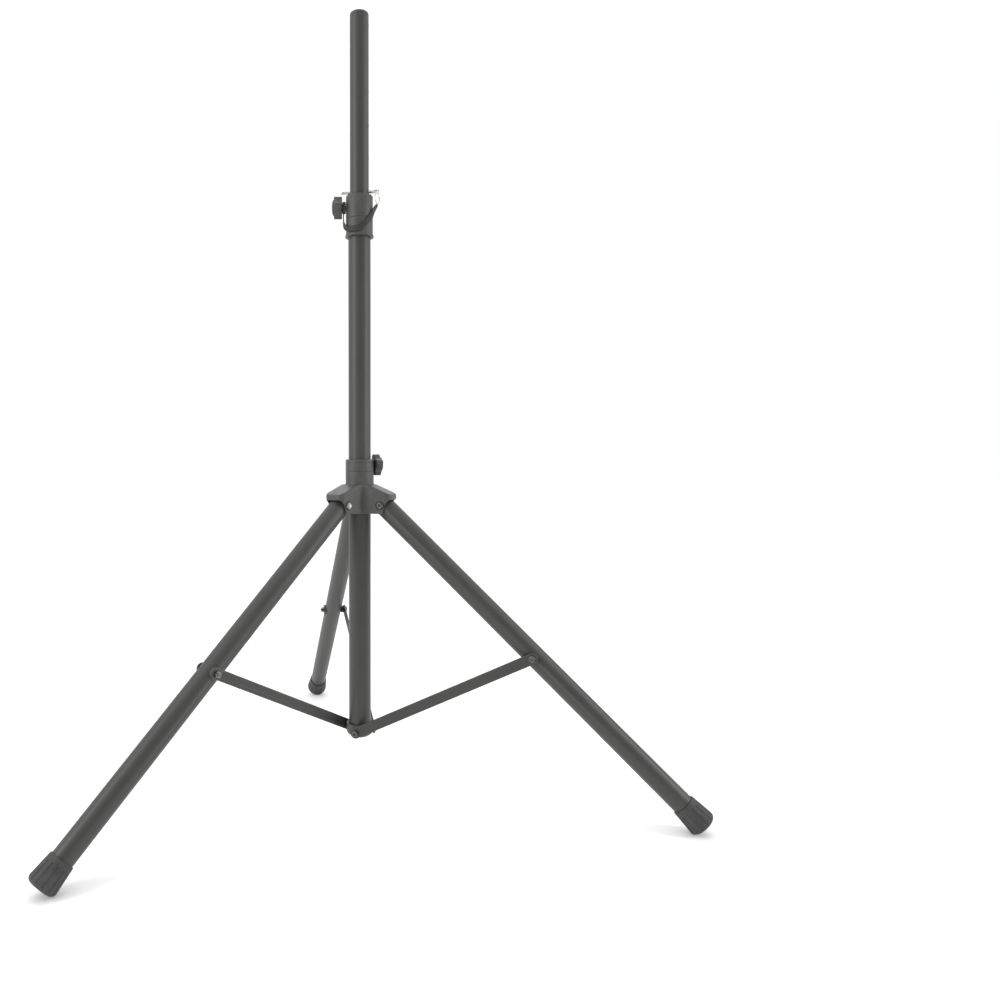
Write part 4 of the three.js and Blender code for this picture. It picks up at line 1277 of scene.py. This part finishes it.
class STAND_OT_pivots(bpy.types.Operator):
    """Make the hub's three pivot bolts and their nuts"""

    bl_idname = "stand.pivots"
    bl_label = "Pivot bolts"

    def execute(self, context):
        sizes = context.scene.stand_sizes
        place = pivot_frame("left")
        low, high = span("pivot_bolt_left", place)
        nut_low, nut_high = span("pivot_nut_left", place)
        head, thickness, shank, nut_corners = 6.5 * MM, 4 * MM, 4 * MM, 15 * MM
        bolt = socket_head(sizes, head, low.y, low.y + thickness, shank, high.y)
        nut = lock_nut(nut_corners, nut_low.y, nut_high.y, PIVOT_HOLE)
        bevelled(nut, 0.15 * MM, 1)
        for kind, blank in (("bolt", bolt), ("nut", nut)):
            on_each_side(
                blank, lambda side: pivot_frame(side) @ ALONG_Y,
                f"hub_{kind}", "hub_body", "black_steel", f"pivot_{kind}",
            )
        return {"FINISHED"}


class STAND_OT_legs(bpy.types.Operator):
    """Make the three legs' tubes"""

    bl_idname = "stand.legs"
    bl_label = "Legs"

    def execute(self, context):
        sizes = context.scene.stand_sizes
        low, high = span("leg_tube_left", leg_frame("left"))
        radius = high.y
        tube = open_tube(radius, LEG_WALL, evenly(low.z, high.z, 6), 72, sizes.rim_round)
        spacer = span("brace_spacer_left", leg_frame("left"))
        for height, hole in ((0, PIVOT_HOLE), ((spacer[0].z + spacer[1].z) / 2, STRAP_HOLE)):
            drill = placed(prism(hole, -radius * 1.3, radius * 1.3, 24), ALONG_Y)
            combined(tube, placed(drill, Matrix.Translation((0, 0, height))))
        on_each_side(tube, leg_frame, "leg", "leg_{}", "powder_coat", "leg_tube")
        return {"FINISHED"}


class STAND_OT_feet(bpy.types.Operator):
    """Make the three fluted rubber feet"""

    bl_idname = "stand.feet"
    bl_label = "Feet"

    def execute(self, context):
        sizes = context.scene.stand_sizes
        place = leg_frame("left")
        low, high = span("foot_left", place)
        leg_low = span("leg_tube_left", place)[0].z
        base, bend = high.y, 8 * MM
        top, bore = 20.75 * MM, span("leg_tube_left", place)[1].y + GAP
        rim = 1.5 * MM
        side_low, side_high = low.z + bend, high.z - rim

        def side(share):
            return base + (top - base) * share, side_low + (side_high - side_low) * share

        profile = [(0, low.z), (base - bend, low.z)]
        profile += arc(base - bend, low.z + bend, bend, -90, 0, 7)[1:]
        profile += [side(share) for share in (0.05, 0.72, 0.8, 0.96)]
        profile += [(top - 0.1 * MM, side_high + 0.6 * MM), (top - 0.9 * MM, high.z)]
        profile += [(bore + 0.5 * MM, high.z), (bore, high.z - 0.6 * MM)]
        profile += [(bore, leg_low - GAP), (0, leg_low - GAP)]
        per_flute = 8
        foot = spun(profile, sizes.flutes * per_flute, closed=False)
        self.flutes(foot, sizes, per_flute, side_low - bend * 0.45, side(0.76)[1])
        bevelled(foot, 0.3 * MM, 2, 24)
        on_each_side(foot, leg_frame, "foot_cap", "leg_{}", "rubber", "foot", 35)
        return {"FINISHED"}

    def flutes(self, foot, sizes, per_flute, low, high):
        """Presses lengthwise flutes into the foot's side, between its rim and its top band."""
        editing(foot)
        sole_radius = 0.018

        def in_flute(face):
            centre = face.calc_center_median()
            turn = math.atan2(centre.y, centre.x) / math.tau * sizes.flutes % 1
            inside = 2 / per_flute < turn < 6 / per_flute
            outside = face.normal.xy.length > 0.3 and face.normal.xy.dot(centre.xy) > 0
            return inside and outside and low < centre.z < high and centre.xy.length > sole_radius

        pick(foot, "FACE", in_flute)
        bpy.ops.mesh.inset(thickness=0.7 * MM, depth=-sizes.flute_depth, use_even_offset=True)
        made()


class STAND_OT_braces(bpy.types.Operator):
    """Make the three flat straps that spread the legs"""

    bl_idname = "stand.braces"
    bl_label = "Straps"

    def execute(self, context):
        low, high = span("brace_strap_left", brace_frame("left"))
        half = (high.z - low.z) / 2
        reach = high.x - half
        bar = primitive("circle", vertices=64, radius=half, fill_type="NGON")
        bpy.ops.object.mode_set(mode="EDIT")
        bpy.ops.mesh.select_all(action="SELECT")
        # The flat outline is stood up in the strap's own plane.
        bpy.ops.transform.rotate(value=math.pi / 2, orient_axis="X", center_override=(0, 0, 0))
        bpy.ops.transform.translate(value=(0, low.y, 0))
        pick(bar, "VERT", lambda corner: corner.co.x > 1e-6)
        bpy.ops.transform.translate(value=(reach, 0, 0))
        bpy.ops.mesh.select_all(action="SELECT")
        thickness = high.y - low.y
        bpy.ops.mesh.extrude_region_move(TRANSFORM_OT_translate={"value": (0, thickness, 0)})
        bpy.ops.mesh.select_all(action="SELECT")
        bpy.ops.mesh.normals_make_consistent(inside=False)
        made()
        for x in (0, reach):
            drill = placed(prism(STRAP_HOLE, low.y - MM, high.y + MM, 32), ALONG_Y)
            combined(bar, placed(drill, Matrix.Translation((x, 0, 0))))
        bevelled(bar, 0.5 * MM, 3, 40)
        on_each_side(bar, brace_frame, "brace", "brace_{}", "powder_coat", "brace_strap", 35)
        return {"FINISHED"}


class STAND_OT_fasteners(bpy.types.Operator):
    """Make the screws, spacers, saddle washers, nuts and heads at the ends of the straps"""

    bl_idname = "stand.fasteners"
    bl_label = "Strap fasteners"

    def execute(self, context):
        sizes = context.scene.stand_sizes
        leg, brace = leg_frame("left"), brace_frame("left")
        screw = span("bracket_screw_left", screw_frame("left"))
        head = span("brace_bolt_head_left", brace)
        bolt = span("brace_bolt_left", leg)
        spacer = span("brace_spacer_left", leg)
        washer = span("brace_washer_left", leg)
        nut = span("brace_nut_left", leg)
        across = (spacer[0].z + spacer[1].z) / 2
        tall, nut_corners = 4 * MM, 11.5 * MM
        at_bolt = Matrix.Translation((0, 0, across)) @ ALONG_Y
        at_end = Matrix.Translation(((head[0].x + head[1].x) / 2, 0, 0)) @ ALONG_Y
        head_r, shank = 6 * MM, 3 * MM
        ring_r, leg_r = 8 * MM, span("leg_tube_left", leg)[1].y
        pieces = [
            ("bracket_bolt", "bracket_screw", "black_steel", "column", screw_frame, ALONG_Y,
             socket_head(sizes, head_r, screw[0].y, screw[0].y + tall, shank, screw[1].y)),
            ("brace_head", "brace_bolt_head", "black_steel", "brace_{}", brace_frame, at_end,
             socket_head(sizes, head_r, head[0].y, head[0].y + tall, shank, head[1].y)),
            ("brace_shank", "brace_bolt", "black_steel", "leg_{}", leg_frame, at_bolt,
             bevelled(prism(shank, bolt[0].y, bolt[1].y, 32), 0.4 * MM, 2)),
            ("brace_bush", "brace_spacer", "nylon", "leg_{}", leg_frame, at_bolt,
             bevelled(flat_ring(STRAP_HOLE, ring_r, spacer[0].y, spacer[1].y, 48), 0.5 * MM)),
            ("brace_saddle", "brace_washer", "moulding", "leg_{}", leg_frame, at_bolt,
             self.saddle(washer, leg_r)),
            ("brace_lock_nut", "brace_nut", "black_steel", "leg_{}", leg_frame, at_bolt,
             lock_nut(nut_corners, nut[0].y, nut[1].y, STRAP_HOLE)),
        ]
        for name, node, slot, body, place, turn, blank in pieces:
            def turned(side, place=place, turn=turn):
                return place(side) @ turn

            on_each_side(blank, turned, name, body, slot, node, 35)
        return {"FINISHED"}

    def saddle(self, washer, leg_r):
        """A round washer whose underside follows the leg's tube."""
        radius = (washer[1].x - washer[0].x) / 2
        disc = flat_ring(STRAP_HOLE, radius, washer[0].y, washer[1].y, 56)
        bevelled(disc, 0.5 * MM, 2)
        # The leg's tube lies along the saddle's own Y axis.
        tube = placed(prism(leg_r + GAP, -40 * MM, 40 * MM, 96), ALONG_Y)
        return combined(disc, tube)


class STAND_OT_inner(bpy.types.Operator):
    """Give the liners, inserts, pads, plugs and screws their finishes"""

    bl_idname = "stand.inner"
    bl_label = "Inner parts"

    def execute(self, context):
        kept = {
            "nylon": ["mast_guide_plug", "collar_liner", "collar_pad", "hub_liner", "hub_pad"],
            "brass": ["collar_insert", "hub_insert"],
            "black_steel": ["collar_screw", "hub_screw"],
        }
        kept["nylon"] += [f"leg_plug_{side}" for side in SIDES]
        for slot, nodes in kept.items():
            for node in nodes:
                obj = frame["nodes"][node]
                obj.data.materials.clear()
                obj.data.materials.append(finish(slot))
        return {"FINISHED"}


# ---------------------------------------------------------------- the add-on
STEPS = (
    STAND_OT_stage, STAND_OT_tether, STAND_OT_mast, STAND_OT_column, STAND_OT_bracket,
    STAND_OT_collar, STAND_OT_knobs, STAND_OT_pin, STAND_OT_hub, STAND_OT_pivots, STAND_OT_legs,
    STAND_OT_feet, STAND_OT_braces, STAND_OT_fasteners, STAND_OT_inner,
)


class STAND_PT_panel(bpy.types.Panel):
    """The stand's sizes and colours, and the steps that build it"""

    bl_idname = "STAND_PT_panel"
    bl_label = "Loudspeaker stand"
    bl_space_type = "VIEW_3D"
    bl_region_type = "UI"
    bl_category = "Stand"

    def draw(self, context):
        for group in (context.scene.stand_sizes, context.scene.stand_look):
            column = self.layout.column()
            for name in group.__annotations__:
                column.prop(group, name)
        for step in STEPS:
            self.layout.operator(step.bl_idname)


CLASSES = (StandSizes, StandLook, *STEPS, STAND_PT_panel)


def register():
    for cls in CLASSES:
        bpy.utils.register_class(cls)
    bpy.types.Scene.stand_sizes = PointerProperty(type=StandSizes)
    bpy.types.Scene.stand_look = PointerProperty(type=StandLook)


def unregister():
    del bpy.types.Scene.stand_look
    del bpy.types.Scene.stand_sizes
    for cls in reversed(CLASSES):
        bpy.utils.unregister_class(cls)


def main():
    register()
    bpy.context.scene.view_settings.view_transform = "Standard"
    for step in STEPS:
        group, name = step.bl_idname.split(".")
        getattr(getattr(bpy.ops, group), name)()


if __name__ == "__main__":
    main()
